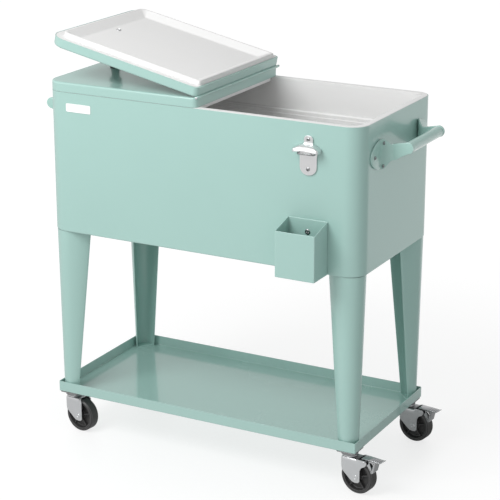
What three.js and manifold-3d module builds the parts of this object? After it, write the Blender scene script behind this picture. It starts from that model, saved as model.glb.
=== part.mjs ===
import * as THREE from "three";
import { mergeVertices, toCreasedNormals } from "three/addons/utils/BufferGeometryUtils.js";
import Module from "manifold-3d";

// Rolling patio cooler, millimetres, +Z up, +X to the right end, +Y to the back

// Clearances
const GAP = 0.3;
const HOLE_PLAY = 0.3;
const MERGE_STEP = 0.0001;
const CREASE = Math.PI / 6;
const OVERRUN = 1;
const HALF = 0.5;

// Roundness of drawn curves
const STEPS = { big: 4, arc: 6, round: 16, hinge: 10, hole: 8, wheel: 24, screw: 8, bend: 4 };
const MIN_RADIUS = 3;

// Tub
const TUB = { length: 820, width: 402, corner: 42, bottom: 525, rim: 868, sheet: 1.5 };
const LINER = { wall: 2.5, flange: 2.7, upper: 18, lower: 26, slope: 2, drop: 75.3, rise: 36 };
LINER.ledge = TUB.rim - LINER.drop;
LINER.floor = TUB.bottom + LINER.rise;
const HALF_LENGTH = TUB.length * HALF;
const HALF_WIDTH = TUB.width * HALF;
const SHELL_TOP = TUB.rim - LINER.flange - GAP;

// Lids
const LID = { height: 22.7, split: 1.6, hingeCorner: 12, endWall: 5, sheet: 1.5 };
LID.skirt = TUB.rim + GAP;
LID.top = LID.skirt + LID.height;
const LID_ROUND = { lowDrop: 4.5, midDrop: 1.3, lowInset: 0, midInset: 1.3, topInset: 4.5 };
const PLUG = { inset: 21, hinge: 6.5, depth: 11.2, rim: 6, slope: 22, panel: 2.7, sheet: 2.5 };
const KNOB = { inset: 68, height: 36, foot: 13, stem: 10, head: 15.5, flat: 8, headDepth: 11 };
KNOB.reach = HALF_LENGTH - KNOB.inset;
const KNOB_BORE = { radius: 2.3, depth: 24 };
const KNOB_SCREW = { head: 4.5, headHeight: 2.4, shank: 2, hole: 2.3, grip: 20 };
const TOUCH = 0.15;

// Hinge
const HINGE = { z: LID.top + 0.5, knuckle: 3.3, bore: 1.9, rod: 1.6, pocket: 3.7, inset: 3 };
HINGE.reach = HALF_WIDTH - HINGE.inset;
const HINGE_HEAD = { radius: 2.8, height: 2.2, overhang: 3 };
const KNUCKLES = 5;
const KNUCKLE_GAP = 0.6;
const OPEN_TILT = 2 * Math.atan((KNOB.height + LID.top - HINGE.z + TOUCH) / (KNOB.reach - KNOB.flat));

// Drain on the left end
const DRAIN = { rise: 16, tube: 8, bore: 5.5, hole: 8.3, flange: 14, flangeDepth: 2.4, out: 20 };
DRAIN.z = LINER.floor + DRAIN.rise;
DRAIN.end = HALF_LENGTH + DRAIN.out;
const NUT = { radius: 14, depth: 6 };
const CAP = { radius: 13.5, bore: 8.4, depth: 16.4, floor: 3.4 };
CAP.end = DRAIN.end + CAP.floor + GAP * 2;
CAP.start = CAP.end - CAP.depth;

// Legs
const LEG = { sheet: 2, plate: 2, turn: 22, curl: 30 };
const LEG_HIGH = { z: TUB.bottom - GAP, inset: 2.7, corner: 34.9, flange: 52.6 };
const LEG_LOW = { inset: 9.3, corner: 23.2, flange: 15.2 };

// Shelf tray
const SHELF = { endInset: 4.5, sideInset: 6, corner: 3, bottom: 102.2, lip: 26, sheet: 1.5 };
SHELF.length = TUB.length - 2 * SHELF.endInset;
SHELF.width = TUB.width - 2 * SHELF.sideInset;
LEG_LOW.z = SHELF.bottom + SHELF.sheet + GAP;

// Casters
const SWIVEL = { endInset: 30, sideInset: 33.6, yaw: -8 };
SWIVEL.x = HALF_LENGTH - SWIVEL.endInset;
SWIVEL.y = HALF_WIDTH - SWIVEL.sideInset;
const WHEEL = { radius: 41.5, half: 13.9, trail: 26.8, bore: 4.4, hub: 9, hubHalf: 15, web: 7 };
const WHEEL_RIM = { foot: 28, inner: 31, outer: 38, tread: 9.5, hubFoot: 10.5 };
const PLATE = { halfX: 24.5, halfY: 26, thick: 2.5, corner: 6, top: SHELF.bottom - GAP };
const RACE = { radius: 20, bottom: 91, pocket: 7.6, pocketBottom: 95.5, bore: 4.4 };
const FORK = { half: 17.7, sheet: 2.2, top: 88, deck: 2.2, front: 14.5, deckEnd: 31, ring: 17 };
FORK.ringTop = RACE.bottom - GAP;
const KINGPIN = { radius: 4, head: 7.2, headBottom: 95.9, headTop: 99.5 };
const AXLE = { radius: 4, head: 6.2, headHeight: 1.6 };
const PIVOT = { pin: 1.8, bore: 2.1, barrel: 3.9, head: 3.2, headHeight: 1.2 };
const PEDAL = { half: 11 };

// Outlines in the plane of the wheel, as shares of the fork's height, from the swivel
const PIVOT_SHARES = [0.5455, 0.9455];
const FORK_SHARES = [
  [-0.1648, 1], [-0.1648, 0.7614], [-0.108, 0.6023], [-0.017, 0.5227],
  [0.1477, 0.3807], [0.2102, 0.3409], [0.3011, 0.3239], [0.3864, 0.3352],
  [0.4352, 0.3864],
];
const BRAKED_SHARES = [
  [0.4352, 0.6932], [0.4773, 0.7841], [0.5909, 0.8523], [0.6307, 0.9091],
  [0.625, 0.9773], [0.5682, 1],
];
const PLAIN_SHARES = [[0.4352, 0.8182], [0.3523, 1]];
const PEDAL_SHARES = [
  [0.4545, 0.9807], [0.4318, 1.0341], [0.6818, 1.0398], [1, 1.0341],
  [1.0511, 1.0682], [1.0625, 1.0455], [1.017, 0.9943], [0.875, 0.9716],
  [0.7761, 0.6773], [0.7389, 0.6659], [0.7159, 0.725], [0.6432, 0.833],
  [0.5864, 0.9091], [0.5455, 0.9455],
];
const WINDOW_SHARES = [[0.6591, 0.9602], [0.8352, 0.9602], [0.7523, 0.7557]];
[PIVOT.u, PIVOT.z] = ofFork([PIVOT_SHARES])[0];

// Side handles
const HANDLE = { drop: 77, inner: 85, arm: 6.5, flange: 4, ovalY: 92, long: 66, high: 35.5, bend: 24 };
HANDLE.z = TUB.rim - HANDLE.drop;
const GRIP = { out: 60.5, rise: 16.3, radius: 12.6, wrap: 13.5, peg: 7, pegLength: 4 };
GRIP.x = HALF_LENGTH + GRIP.out;
GRIP.z = HANDLE.z + GRIP.rise;

// Places from the flange's oval and from the grip's axis, as shares of the oval's and grip's sizes
const HANDLE_SCREW_SHARES = [[0.136, 0.69], [0.727, -0.028], [0.159, -0.775]];
const HANDLE_SCREWS = HANDLE_SCREW_SHARES.map(([a, b]) => (
  [HANDLE.ovalY + a * HANDLE.long, HANDLE.z + b * HANDLE.high]
));
const ARM_LOW_SHARES = [[0.93, -2.69], [0.686, -2.467], [0.446, -2.17], [0.289, -1.726]];
const ARM_HIGH_SHARES = [[0.306, 0.696], [0.504, 0.511], [0.653, 0.37], [0.93, 0.2]];

// Screws of sheet metal
const SCREW = { head: 4.2, headHeight: 2.4, shank: 1.8, hole: 2.1 };
const PAN_HEAD = 6.4;

// Bottle opener, cap catcher and name plate
const WALL_SHARES = { opener: 0.13411, catcherBack: 0.36152, catcherFront: 0.31195 };
const WALL_HEIGHT = TUB.rim - TUB.bottom;
const OPENER = { inset: 127, thick: 3, tabHalf: 11, tab: 17, wideHalf: 29, chamfer: 4 };
OPENER.x = HALF_LENGTH - OPENER.inset;
OPENER.wideTop = TUB.rim - WALL_HEIGHT * WALL_SHARES.opener;
OPENER.tabTop = OPENER.wideTop + OPENER.tab;
const OPENER_LOW = { half: 21, length: 73, shoulderDrop: 23, flare: 2 };
OPENER_LOW.bottom = OPENER.wideTop - OPENER_LOW.length;
OPENER_LOW.shoulder = OPENER.wideTop - OPENER_LOW.shoulderDrop;
const HOOD = { reach: 24, half: 32, height: 17, wall: 4, roof: 4, slope: 9 };
const HOOD_ROUND_SHARE = 0.25;
HOOD.top = OPENER.wideTop;
HOOD.bottom = HOOD.top - HOOD.height;
const OPENER_SCREW = { above: 8, up: 14 };
const OPENER_SCREWS = [
  [OPENER.x, OPENER.wideTop + OPENER_SCREW.above],
  [OPENER.x, OPENER_LOW.bottom + OPENER_SCREW.up],
];
const CATCHER = { width: 98, depth: 66.7, sheet: 1.5, screw: 30 };
CATCHER.x0 = OPENER.x - CATCHER.width * HALF;
CATCHER.x1 = OPENER.x + CATCHER.width * HALF;
CATCHER.bottom = TUB.bottom;
CATCHER.back = TUB.bottom + WALL_HEIGHT * WALL_SHARES.catcherBack;
CATCHER.front = TUB.bottom + WALL_HEIGHT * WALL_SHARES.catcherFront;
const CATCHER_SCREW = [OPENER.x, CATCHER.back - CATCHER.screw];
const LABEL = { inset: 57, width: 68, drop: 26, height: 20, thick: 0.8, corner: 3 };
LABEL.x0 = LABEL.inset - HALF_LENGTH;
LABEL.x1 = LABEL.x0 + LABEL.width;
LABEL.z1 = TUB.rim - LABEL.drop;
LABEL.z0 = LABEL.z1 - LABEL.height;

// Shift that puts the middle of the whole depth on the origin
const FRONT = HALF_WIDTH + GAP + CATCHER.depth;
const BACK = HALF_WIDTH + HINGE_HEAD.overhang;
const FRAME_SHIFT = (FRONT - BACK) * HALF;

const wasm = await Module();
wasm.setup();

// Closed body of corners and triangles
function bodyOf(positions, order) {
  const mesh = new wasm.Mesh({
    numProp: 3,
    vertProperties: new Float32Array(positions),
    triVerts: new Uint32Array(order),
  });
  return new wasm.Manifold(mesh);
}

// Closed body of a geometry with seams
function solidOf(geometry) {
  const bare = geometry.clone();
  bare.deleteAttribute("normal");
  bare.deleteAttribute("uv");
  const merged = mergeVertices(bare, MERGE_STEP);
  return bodyOf(merged.attributes.position.array, merged.index.array);
}

// Geometry of a closed body
function geometryOf(solid) {
  const mesh = solid.getMesh();
  const geometry = new THREE.BufferGeometry();
  const positions = new Float32Array(mesh.vertProperties);
  geometry.setAttribute("position", new THREE.BufferAttribute(positions, 3));
  geometry.setIndex(new THREE.BufferAttribute(new Uint32Array(mesh.triVerts), 1));
  return geometry;
}

// Moved, turned or mirrored copy of a body
function moved(solid, matrix) {
  return solid.transform(matrix.elements);
}

function shift(x, y, z) {
  return new THREE.Matrix4().makeTranslation(x, y, z);
}

function mirror(sx, sy) {
  return new THREE.Matrix4().makeScale(sx, sy, 1);
}

// Area sign of a flat polygon
function signedArea(points) {
  let sum = 0;
  points.forEach((p, i) => {
    const q = points[(i + 1) % points.length];
    sum += p[0] * q[1] - q[0] * p[1];
  });
  return sum * HALF;
}

// Skin over a stack of equal rings, capped at both ends
function skin(rings) {
  const count = rings[0].length;
  const positions = rings.flat(2);
  const order = [];
  for (let r = 0; r + 1 < rings.length; r += 1) {
    for (let j = 0; j < count; j += 1) {
      const k = (j + 1) % count;
      const a = r * count + j;
      const b = r * count + k;
      const c = (r + 1) * count + k;
      const d = (r + 1) * count + j;
      order.push(a, b, c, a, c, d);
    }
  }
  [0, rings.length - 1].forEach((r) => {
    const flat = rings[r].map((p) => new THREE.Vector2(p[0], p[1]));
    THREE.ShapeUtils.triangulateShape(flat, []).forEach((t) => {
      const area = signedArea(t.map((i) => [flat[i].x, flat[i].y]));
      const up = r === 0 ? area < 0 : area > 0;
      const tri = up ? t : [t[0], t[2], t[1]];
      order.push(...tri.map((i) => r * count + i));
    });
  });
  return bodyOf(positions, order);
}

// Rounded rectangle, counter-clockwise from above
function roundedRing({ x0, x1, y0, y1, radii, z, steps }) {
  const centres = [
    [x1, y1, -1, -1, 0],
    [x0, y1, 1, -1, 1],
    [x0, y0, 1, 1, 2],
    [x1, y0, -1, 1, 3],
  ];
  const points = [];
  centres.forEach(([x, y, sx, sy, quarter]) => {
    const r = radii[quarter];
    for (let i = 0; i <= steps; i += 1) {
      const a = (quarter + i / steps) * Math.PI * HALF;
      points.push([x + sx * r + r * Math.cos(a), y + sy * r + r * Math.sin(a), z]);
    }
  });
  return points;
}

// Ring of the tub outline, moved in by an inset
function tubRing([z, inset]) {
  const r = Math.max(TUB.corner - inset, MIN_RADIUS);
  return roundedRing({
    x0: inset - HALF_LENGTH,
    x1: HALF_LENGTH - inset,
    y0: inset - HALF_WIDTH,
    y1: HALF_WIDTH - inset,
    radii: [r, r, r, r],
    z,
    steps: STEPS.big,
  });
}

// Ring of the left lid outline; the hinge end has its own inset
function lidRing([z, inset, hinge]) {
  const outer = Math.max(TUB.corner - inset, MIN_RADIUS);
  const inner = Math.max(LID.hingeCorner - inset, MIN_RADIUS);
  return roundedRing({
    x0: inset - HALF_LENGTH,
    x1: -LID.split - hinge,
    y0: inset - HALF_WIDTH,
    y1: HALF_WIDTH - inset,
    radii: [inner, outer, outer, inner],
    z,
    steps: STEPS.big,
  });
}

// Straight round bar between two heights, then turned to an axis
function bar(radius, from, to, axis, centre, segments) {
  const geometry = new THREE.CylinderGeometry(radius, radius, to - from, segments);
  geometry.translate(0, (from + to) * HALF, 0);
  if (axis === "x") {
    geometry.rotateZ(-Math.PI * HALF);
  }
  if (axis === "z") {
    geometry.rotateX(Math.PI * HALF);
  }
  geometry.translate(...centre);
  return solidOf(geometry);
}

// Turned body on the Z axis from a closed list of radius and height
function turned(profile, segments) {
  const points = profile.map(([r, h]) => new THREE.Vector2(r, h));
  const geometry = new THREE.LatheGeometry(points, segments);
  geometry.rotateX(Math.PI * HALF);
  return solidOf(geometry);
}

// Flat plate from a polygon in x and y, between two heights
function slab(points, z0, z1) {
  const flat = signedArea(points) > 0 ? points : [...points].reverse();
  return skin([flat.map(([x, y]) => [x, y, z0]), flat.map(([x, y]) => [x, y, z1])]);
}

// Box between two corners
function block(x0, x1, y0, y1, z0, z1) {
  return slab([[x0, y0], [x1, y0], [x1, y1], [x0, y1]], z0, z1);
}

// Slab whose polygon lies in x and z, running along y
function slabXZ(points, y0, y1) {
  const solid = slab(points.map(([x, z]) => [x, -z]), y0, y1);
  return moved(solid, new THREE.Matrix4().makeRotationX(-Math.PI * HALF));
}

// Slab whose polygon lies in y and z, running along x
function slabYZ(points, x0, x1) {
  const solid = slab(points, x0, x1);
  const axes = new THREE.Matrix4().makeBasis(
    new THREE.Vector3(0, 1, 0),
    new THREE.Vector3(0, 0, 1),
    new THREE.Vector3(1, 0, 0),
  );
  return moved(solid, axes);
}

function arcPoints(cx, cy, r, from, to, steps) {
  const points = [];
  for (let i = 0; i <= steps; i += 1) {
    const a = from + ((to - from) * i) / steps;
    points.push([cx + r * Math.cos(a), cy + r * Math.sin(a)]);
  }
  return points;
}

// Outline in shares of the fork's height, in millimetres
function ofFork(shares) {
  return shares.map(([u, z]) => [u * FORK.top, z * FORK.top]);
}

function radians(degrees) {
  return THREE.MathUtils.degToRad(degrees);
}

// Holes through the tub walls
function wallHoles(radius) {
  const holes = [];
  [-1, 1].forEach((sx) => {
    [-1, 1].forEach((sy) => {
      HANDLE_SCREWS.forEach(([y, z]) => {
        const a = HALF_LENGTH - TUB.sheet - OVERRUN;
        const b = HALF_LENGTH + OVERRUN;
        holes.push(bar(radius, Math.min(sx * a, sx * b), Math.max(sx * a, sx * b), "x",
          [0, sy * y, z], STEPS.hole));
      });
    });
  });
  [...OPENER_SCREWS, CATCHER_SCREW].forEach(([x, z]) => {
    const a = -HALF_WIDTH - OVERRUN;
    const b = TUB.sheet - HALF_WIDTH + OVERRUN;
    holes.push(bar(radius, a, b, "y", [x, 0, z], STEPS.hole));
  });
  return holes;
}

function drainHole() {
  return bar(DRAIN.hole, -HALF_LENGTH - OVERRUN, -HALF_LENGTH + LINER.lower + OVERRUN, "x",
    [0, 0, DRAIN.z], STEPS.round);
}

// Painted tub shell
function tubShell() {
  const s = TUB.sheet;
  let solid = skin([
    [TUB.bottom, 0], [SHELL_TOP, 0], [SHELL_TOP, s], [TUB.bottom + s, s],
  ].map(tubRing));
  wallHoles(SCREW.hole).forEach((hole) => {
    solid = solid.subtract(hole);
  });
  return solid.subtract(drainHole());
}

// Moulded liner with its flange over the wall tops
function tubLiner() {
  const upper = LINER.upper - LINER.wall;
  const lower = LINER.lower - LINER.wall;
  const under = LINER.ledge - LINER.slope - LINER.wall;
  return skin([
    [LINER.floor - LINER.wall, lower],
    [under, lower],
    [under, upper],
    [TUB.rim - LINER.flange, upper],
    [TUB.rim - LINER.flange, 0],
    [TUB.rim, 0],
    [TUB.rim, LINER.upper],
    [LINER.ledge, LINER.upper],
    [LINER.ledge - LINER.slope, LINER.lower],
    [LINER.floor, LINER.lower],
  ].map(tubRing)).subtract(drainHole());
}

// Foam between shell and liner
function tubFoam() {
  const outer = TUB.sheet + GAP;
  const upper = LINER.upper - LINER.wall - GAP;
  const lower = LINER.lower - LINER.wall - GAP;
  const under = LINER.ledge - LINER.slope - LINER.wall - GAP;
  return skin([
    [TUB.bottom + outer, outer],
    [SHELL_TOP, outer],
    [SHELL_TOP, upper],
    [under, upper],
    [under, lower],
    [LINER.floor - LINER.wall - GAP, lower],
  ].map(tubRing)).subtract(drainHole());
}

// Drain spout with its inner flange
function drainSpout() {
  const inner = -HALF_LENGTH + LINER.lower + GAP;
  const at = [0, 0, DRAIN.z];
  return bar(DRAIN.tube, -DRAIN.end, inner + OVERRUN, "x", at, STEPS.round)
    .add(bar(DRAIN.flange, inner, inner + DRAIN.flangeDepth, "x", at, STEPS.round))
    .subtract(bar(DRAIN.bore, -DRAIN.end - OVERRUN, inner + DRAIN.flangeDepth + OVERRUN, "x", at,
      STEPS.round));
}

// Hexagon nut on the spout
function drainNut() {
  const outside = -HALF_LENGTH - GAP;
  const at = [0, 0, DRAIN.z];
  return bar(NUT.radius, outside - NUT.depth, outside, "x", at, 6)
    .subtract(bar(DRAIN.hole, outside - NUT.depth - OVERRUN, outside + OVERRUN, "x", at,
      STEPS.round));
}

// Drain cap over the spout end
function drainCap() {
  const at = [0, 0, DRAIN.z];
  return bar(CAP.radius, -CAP.end, -CAP.start, "x", at, STEPS.round)
    .subtract(bar(CAP.bore, -CAP.end + CAP.floor, -CAP.start + OVERRUN, "x", at, STEPS.round));
}

// Cylinder sections along the hinge, numbered from the front
function hingeSections(radius, picks, grow) {
  const pitch = (2 * HINGE.reach) / KNUCKLES;
  return picks.map((i) => {
    const from = i * pitch - HINGE.reach + KNUCKLE_GAP * HALF - grow;
    const to = (i + 1) * pitch - HINGE.reach - KNUCKLE_GAP * HALF + grow;
    return bar(radius, from, to, "y", [0, 0, HINGE.z], STEPS.hinge);
  });
}

// Screw hole through a lid at the knob
function knobHole() {
  return bar(KNOB_SCREW.hole, LID.skirt - PLUG.depth - OVERRUN, LID.top + OVERRUN, "z",
    [-KNOB.reach, 0, 0], STEPS.hole);
}

// Painted lid shell, closed, on the left side
function lidShell(own, other) {
  const s = LID.sheet;
  const w = LID.endWall;
  const r = LID_ROUND;
  let solid = skin([
    [LID.top - s, r.topInset + HALF, w + HALF],
    [LID.top - r.midDrop - s, r.midInset + s, w],
    [LID.top - r.lowDrop, s, w],
    [LID.skirt, s, w],
    [LID.skirt, 0, 0],
    [LID.top - r.lowDrop, 0, 0],
    [LID.top - r.midDrop, r.midInset, 0],
    [LID.top, r.topInset, 0],
  ].map(lidRing));
  hingeSections(HINGE.knuckle, own, 0).forEach((part) => {
    solid = solid.add(part);
  });
  hingeSections(HINGE.pocket, other, GAP).forEach((part) => {
    solid = solid.subtract(part);
  });
  const bore = bar(HINGE.bore, -HALF_WIDTH, HALF_WIDTH, "y", [0, 0, HINGE.z], STEPS.screw);
  return solid.subtract(bore).subtract(knobHole());
}

// Moulded underside of a lid, closed, on the left side
function lidLiner() {
  const low = LID.skirt - PLUG.depth;
  const panel = LID.skirt + PLUG.panel;
  const lip = LID.sheet + GAP;
  const rim = PLUG.inset + PLUG.rim;
  const end = rim + PLUG.slope;
  const nearer = PLUG.hinge - PLUG.inset;
  const t = PLUG.sheet;
  const inner = rim - t * HALF;
  return skin([
    [panel, end, end + nearer],
    [low, rim, rim + nearer],
    [low, PLUG.inset, PLUG.hinge],
    [LID.skirt, PLUG.inset, PLUG.hinge],
    [LID.skirt, lip, LID.endWall + GAP],
    [LID.skirt + t, lip, LID.endWall + GAP],
    [LID.skirt + t, PLUG.inset + t, PLUG.hinge + t],
    [low + t, PLUG.inset + t, PLUG.hinge + t],
    [low + t, inner, inner + nearer],
    [panel + t, end, end + nearer],
  ].map(lidRing)).subtract(knobHole());
}

// Foam inside a lid, closed, on the left side
function lidFoam() {
  const t = PLUG.sheet;
  const low = LID.skirt - PLUG.depth + t + GAP + TOUCH;
  const panel = LID.skirt + PLUG.panel + t + GAP + TOUCH;
  const lip = LID.sheet + GAP;
  const out = PLUG.inset + t + GAP;
  const nearer = PLUG.hinge - PLUG.inset;
  const inner = PLUG.inset + PLUG.rim - t * HALF;
  const end = PLUG.inset + PLUG.rim + PLUG.slope;
  const w = LID.endWall + GAP;
  const r = LID_ROUND;
  return skin([
    [panel, end, end + nearer],
    [low, inner, inner + nearer],
    [low, out, out + nearer],
    [LID.skirt + t + GAP, out, out + nearer],
    [LID.skirt + t + GAP, lip, w],
    [LID.top - r.lowDrop - GAP, lip, w],
    [LID.top - r.midDrop - LID.sheet - GAP, r.midInset + LID.sheet + GAP, w],
    [LID.top - LID.sheet - GAP, r.topInset + HALF, w + HALF],
  ].map(lidRing)).subtract(knobHole());
}

// Pull knob on a lid
function lidKnob() {
  const k = KNOB;
  const foot = 3;
  const neck = k.height - k.headDepth;
  const solid = turned([
    [0, GAP],
    [k.foot, GAP],
    [k.foot, foot - OVERRUN],
    [k.stem, foot + OVERRUN],
    [k.stem - OVERRUN, neck - foot],
    [k.head - foot, neck],
    [k.head, neck + foot],
    [k.head, k.height - foot],
    [k.head - foot, k.height - HALF],
    [k.flat, k.height],
    [0, k.height],
  ], STEPS.round);
  const bore = bar(KNOB_BORE.radius, -OVERRUN, KNOB_BORE.depth, "z", [0, 0, 0], STEPS.hole);
  return moved(solid.subtract(bore), shift(-KNOB.reach, 0, LID.top));
}

// Screw of a knob, from below
function knobScrew() {
  const s = KNOB_SCREW;
  const panel = LID.skirt + PLUG.panel - GAP;
  return bar(s.head, panel - s.headHeight, panel, "z", [-KNOB.reach, 0, 0], STEPS.screw)
    .add(bar(s.shank, panel - OVERRUN, LID.top + s.grip, "z", [-KNOB.reach, 0, 0], STEPS.screw));
}

// Hinge rod with a head at each end
function hingeRod() {
  const end = HALF_WIDTH + HINGE_HEAD.overhang;
  const at = [0, 0, HINGE.z];
  const near = end - HINGE_HEAD.height;
  return bar(HINGE.rod, -end + OVERRUN, end - OVERRUN, "y", at, STEPS.screw)
    .add(bar(HINGE_HEAD.radius, -end, -near, "y", at, STEPS.screw))
    .add(bar(HINGE_HEAD.radius, near, end, "y", at, STEPS.screw));
}

// A left lid piece as its right twin, with the hinge line at the origin
function rightTwin(solid) {
  return moved(solid, shift(0, 0, -HINGE.z).multiply(mirror(-1, 1)));
}

// Cross-section of a leg at one level: outer and inner points
function legSection({ inset, corner, flange }) {
  const turn = radians(LEG.turn);
  const curl = radians(LEG.curl);
  const cx = HALF_LENGTH - inset - corner;
  const cy = HALF_WIDTH - inset - corner;
  const rho = flange / curl;
  const points = [];
  const low = -turn;
  const high = Math.PI * HALF + turn;
  const hx = cx + corner * Math.cos(low) - rho * Math.cos(low);
  const hy = cy + corner * Math.sin(low) - rho * Math.sin(low);
  const kx = cx + corner * Math.cos(high) - rho * Math.cos(high);
  const ky = cy + corner * Math.sin(high) - rho * Math.sin(high);
  const add = (x, y, r, from, to, steps) => {
    for (let i = 0; i <= steps; i += 1) {
      const a = from + ((to - from) * i) / steps;
      const outer = [x + r * Math.cos(a), y + r * Math.sin(a)];
      points.push([outer, [outer[0] - LEG.sheet * Math.cos(a), outer[1] - LEG.sheet * Math.sin(a)]]);
    }
  };
  add(hx, hy, rho, low - curl, low, STEPS.bend);
  points.pop();
  add(cx, cy, corner, low, high, STEPS.arc);
  points.pop();
  add(kx, ky, rho, high, high + curl, STEPS.bend);
  return { outer: points.map((p) => p[0]), inner: points.map((p) => p[1]) };
}

// Leg at the right back corner: a curved sheet with a plate at each end
function leg() {
  const levels = [LEG_LOW, LEG_HIGH];
  const rings = levels.map((level) => {
    const { outer, inner } = legSection(level);
    return [...outer, ...inner.reverse()].map(([x, y]) => [x, y, level.z]);
  });
  const lowPlate = slab(legSection(LEG_LOW).outer, LEG_LOW.z, LEG_LOW.z + LEG.plate);
  const highPlate = slab(legSection(LEG_HIGH).outer, LEG_HIGH.z - LEG.plate, LEG_HIGH.z);
  return skin(rings).add(lowPlate).add(highPlate);
}

// Shelf tray with its lip
function shelf() {
  const ring = ([z, inset]) => {
    const r = SHELF.corner - inset;
    return roundedRing({
      x0: inset - SHELF.length * HALF,
      x1: SHELF.length * HALF - inset,
      y0: inset - SHELF.width * HALF,
      y1: SHELF.width * HALF - inset,
      radii: [r, r, r, r],
      z,
      steps: 2,
    });
  };
  const s = SHELF.sheet;
  return skin([
    [SHELF.bottom, 0],
    [SHELF.bottom + SHELF.lip, 0],
    [SHELF.bottom + SHELF.lip, s],
    [SHELF.bottom + s, s],
  ].map(ring));
}

// Mounting plate of a caster with its raceway, at the swivel
function casterPlate() {
  const p = PLATE;
  const plate = skin([p.top - p.thick, p.top].map((z) => roundedRing({
    x0: -p.halfX,
    x1: p.halfX,
    y0: -p.halfY,
    y1: p.halfY,
    radii: [p.corner, p.corner, p.corner, p.corner],
    z,
    steps: 2,
  })));
  const at = [0, 0, 0];
  return plate
    .add(bar(RACE.radius, RACE.bottom, p.top - p.thick * HALF, "z", at, STEPS.round))
    .subtract(bar(RACE.bore, RACE.bottom - OVERRUN, RACE.pocketBottom + OVERRUN, "z", at, STEPS.round))
    .subtract(bar(RACE.pocket, RACE.pocketBottom, p.top + OVERRUN, "z", at, STEPS.round));
}

// Fork with its kingpin and axle, at the swivel, facing +X
function fork(braked) {
  const f = FORK;
  const at = [0, 0, 0];
  const outline = ofFork([...FORK_SHARES, ...(braked ? BRAKED_SHARES : PLAIN_SHARES)]);
  const inner = f.half - f.sheet;
  let solid = slabXZ(outline, -f.half, -inner).add(slabXZ(outline, inner, f.half));
  solid = solid.add(block(-f.front, f.deckEnd, -f.half, f.half, f.top - f.deck, f.top));
  solid = solid.add(bar(f.ring, f.top - OVERRUN, f.ringTop, "z", at, STEPS.round));
  solid = solid.add(bar(KINGPIN.radius, f.top - OVERRUN, KINGPIN.headTop, "z", at, STEPS.hole));
  solid = solid.add(bar(KINGPIN.head, KINGPIN.headBottom, KINGPIN.headTop, "z", at, STEPS.round));
  const axle = [WHEEL.trail, 0, WHEEL.radius];
  const end = f.half + AXLE.headHeight;
  solid = solid.add(bar(AXLE.radius, -f.half, f.half, "y", axle, STEPS.hole));
  solid = solid.add(bar(AXLE.head, -end, -inner, "y", axle, STEPS.hole));
  solid = solid.add(bar(AXLE.head, inner, end, "y", axle, STEPS.hole));
  if (braked) {
    const pivot = [PIVOT.u, 0, PIVOT.z];
    const reach = f.half + PIVOT.headHeight;
    solid = solid.add(bar(PIVOT.pin, -f.half, f.half, "y", pivot, STEPS.hole));
    solid = solid.add(bar(PIVOT.head, -reach, -inner, "y", pivot, STEPS.hole));
    solid = solid.add(bar(PIVOT.head, inner, reach, "y", pivot, STEPS.hole));
  }
  return solid;
}

// Wheel on its axle, at the swivel, rolling along +X
function wheel() {
  const w = WHEEL;
  const r = WHEEL_RIM;
  const profile = [
    [w.bore, -w.hubHalf], [w.hub, -w.hubHalf], [r.hubFoot, -w.web], [r.foot, -w.web],
    [r.inner, -w.half], [r.outer, -w.half], [w.radius, -r.tread], [w.radius, r.tread],
    [r.outer, w.half], [r.inner, w.half], [r.foot, w.web], [r.hubFoot, w.web],
    [w.hub, w.hubHalf], [w.bore, w.hubHalf], [w.bore, -w.hubHalf],
  ];
  const solid = turned(profile, STEPS.wheel);
  const matrix = shift(w.trail, 0, w.radius)
    .multiply(new THREE.Matrix4().makeRotationX(Math.PI * HALF));
  return moved(solid, matrix);
}

// Brake pedal with its pad against the tread
function pedal() {
  const pivot = [PIVOT.u, 0, PIVOT.z];
  return slabXZ(ofFork(PEDAL_SHARES), -PEDAL.half, PEDAL.half)
    .add(bar(PIVOT.barrel, -PEDAL.half, PEDAL.half, "y", pivot, STEPS.round))
    .subtract(slabXZ(ofFork(WINDOW_SHARES), -PEDAL.half - OVERRUN, PEDAL.half + OVERRUN))
    .subtract(bar(PIVOT.bore, -PEDAL.half - OVERRUN, PEDAL.half + OVERRUN, "y", pivot, STEPS.round));
}

// Points of the arm's edge: shares of the way from the grip to the wall, and of the wrap's radius
function armPoints(shares) {
  return shares.map(([a, b]) => [GRIP.x - a * GRIP.out, GRIP.z + b * GRIP.wrap]);
}

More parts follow.
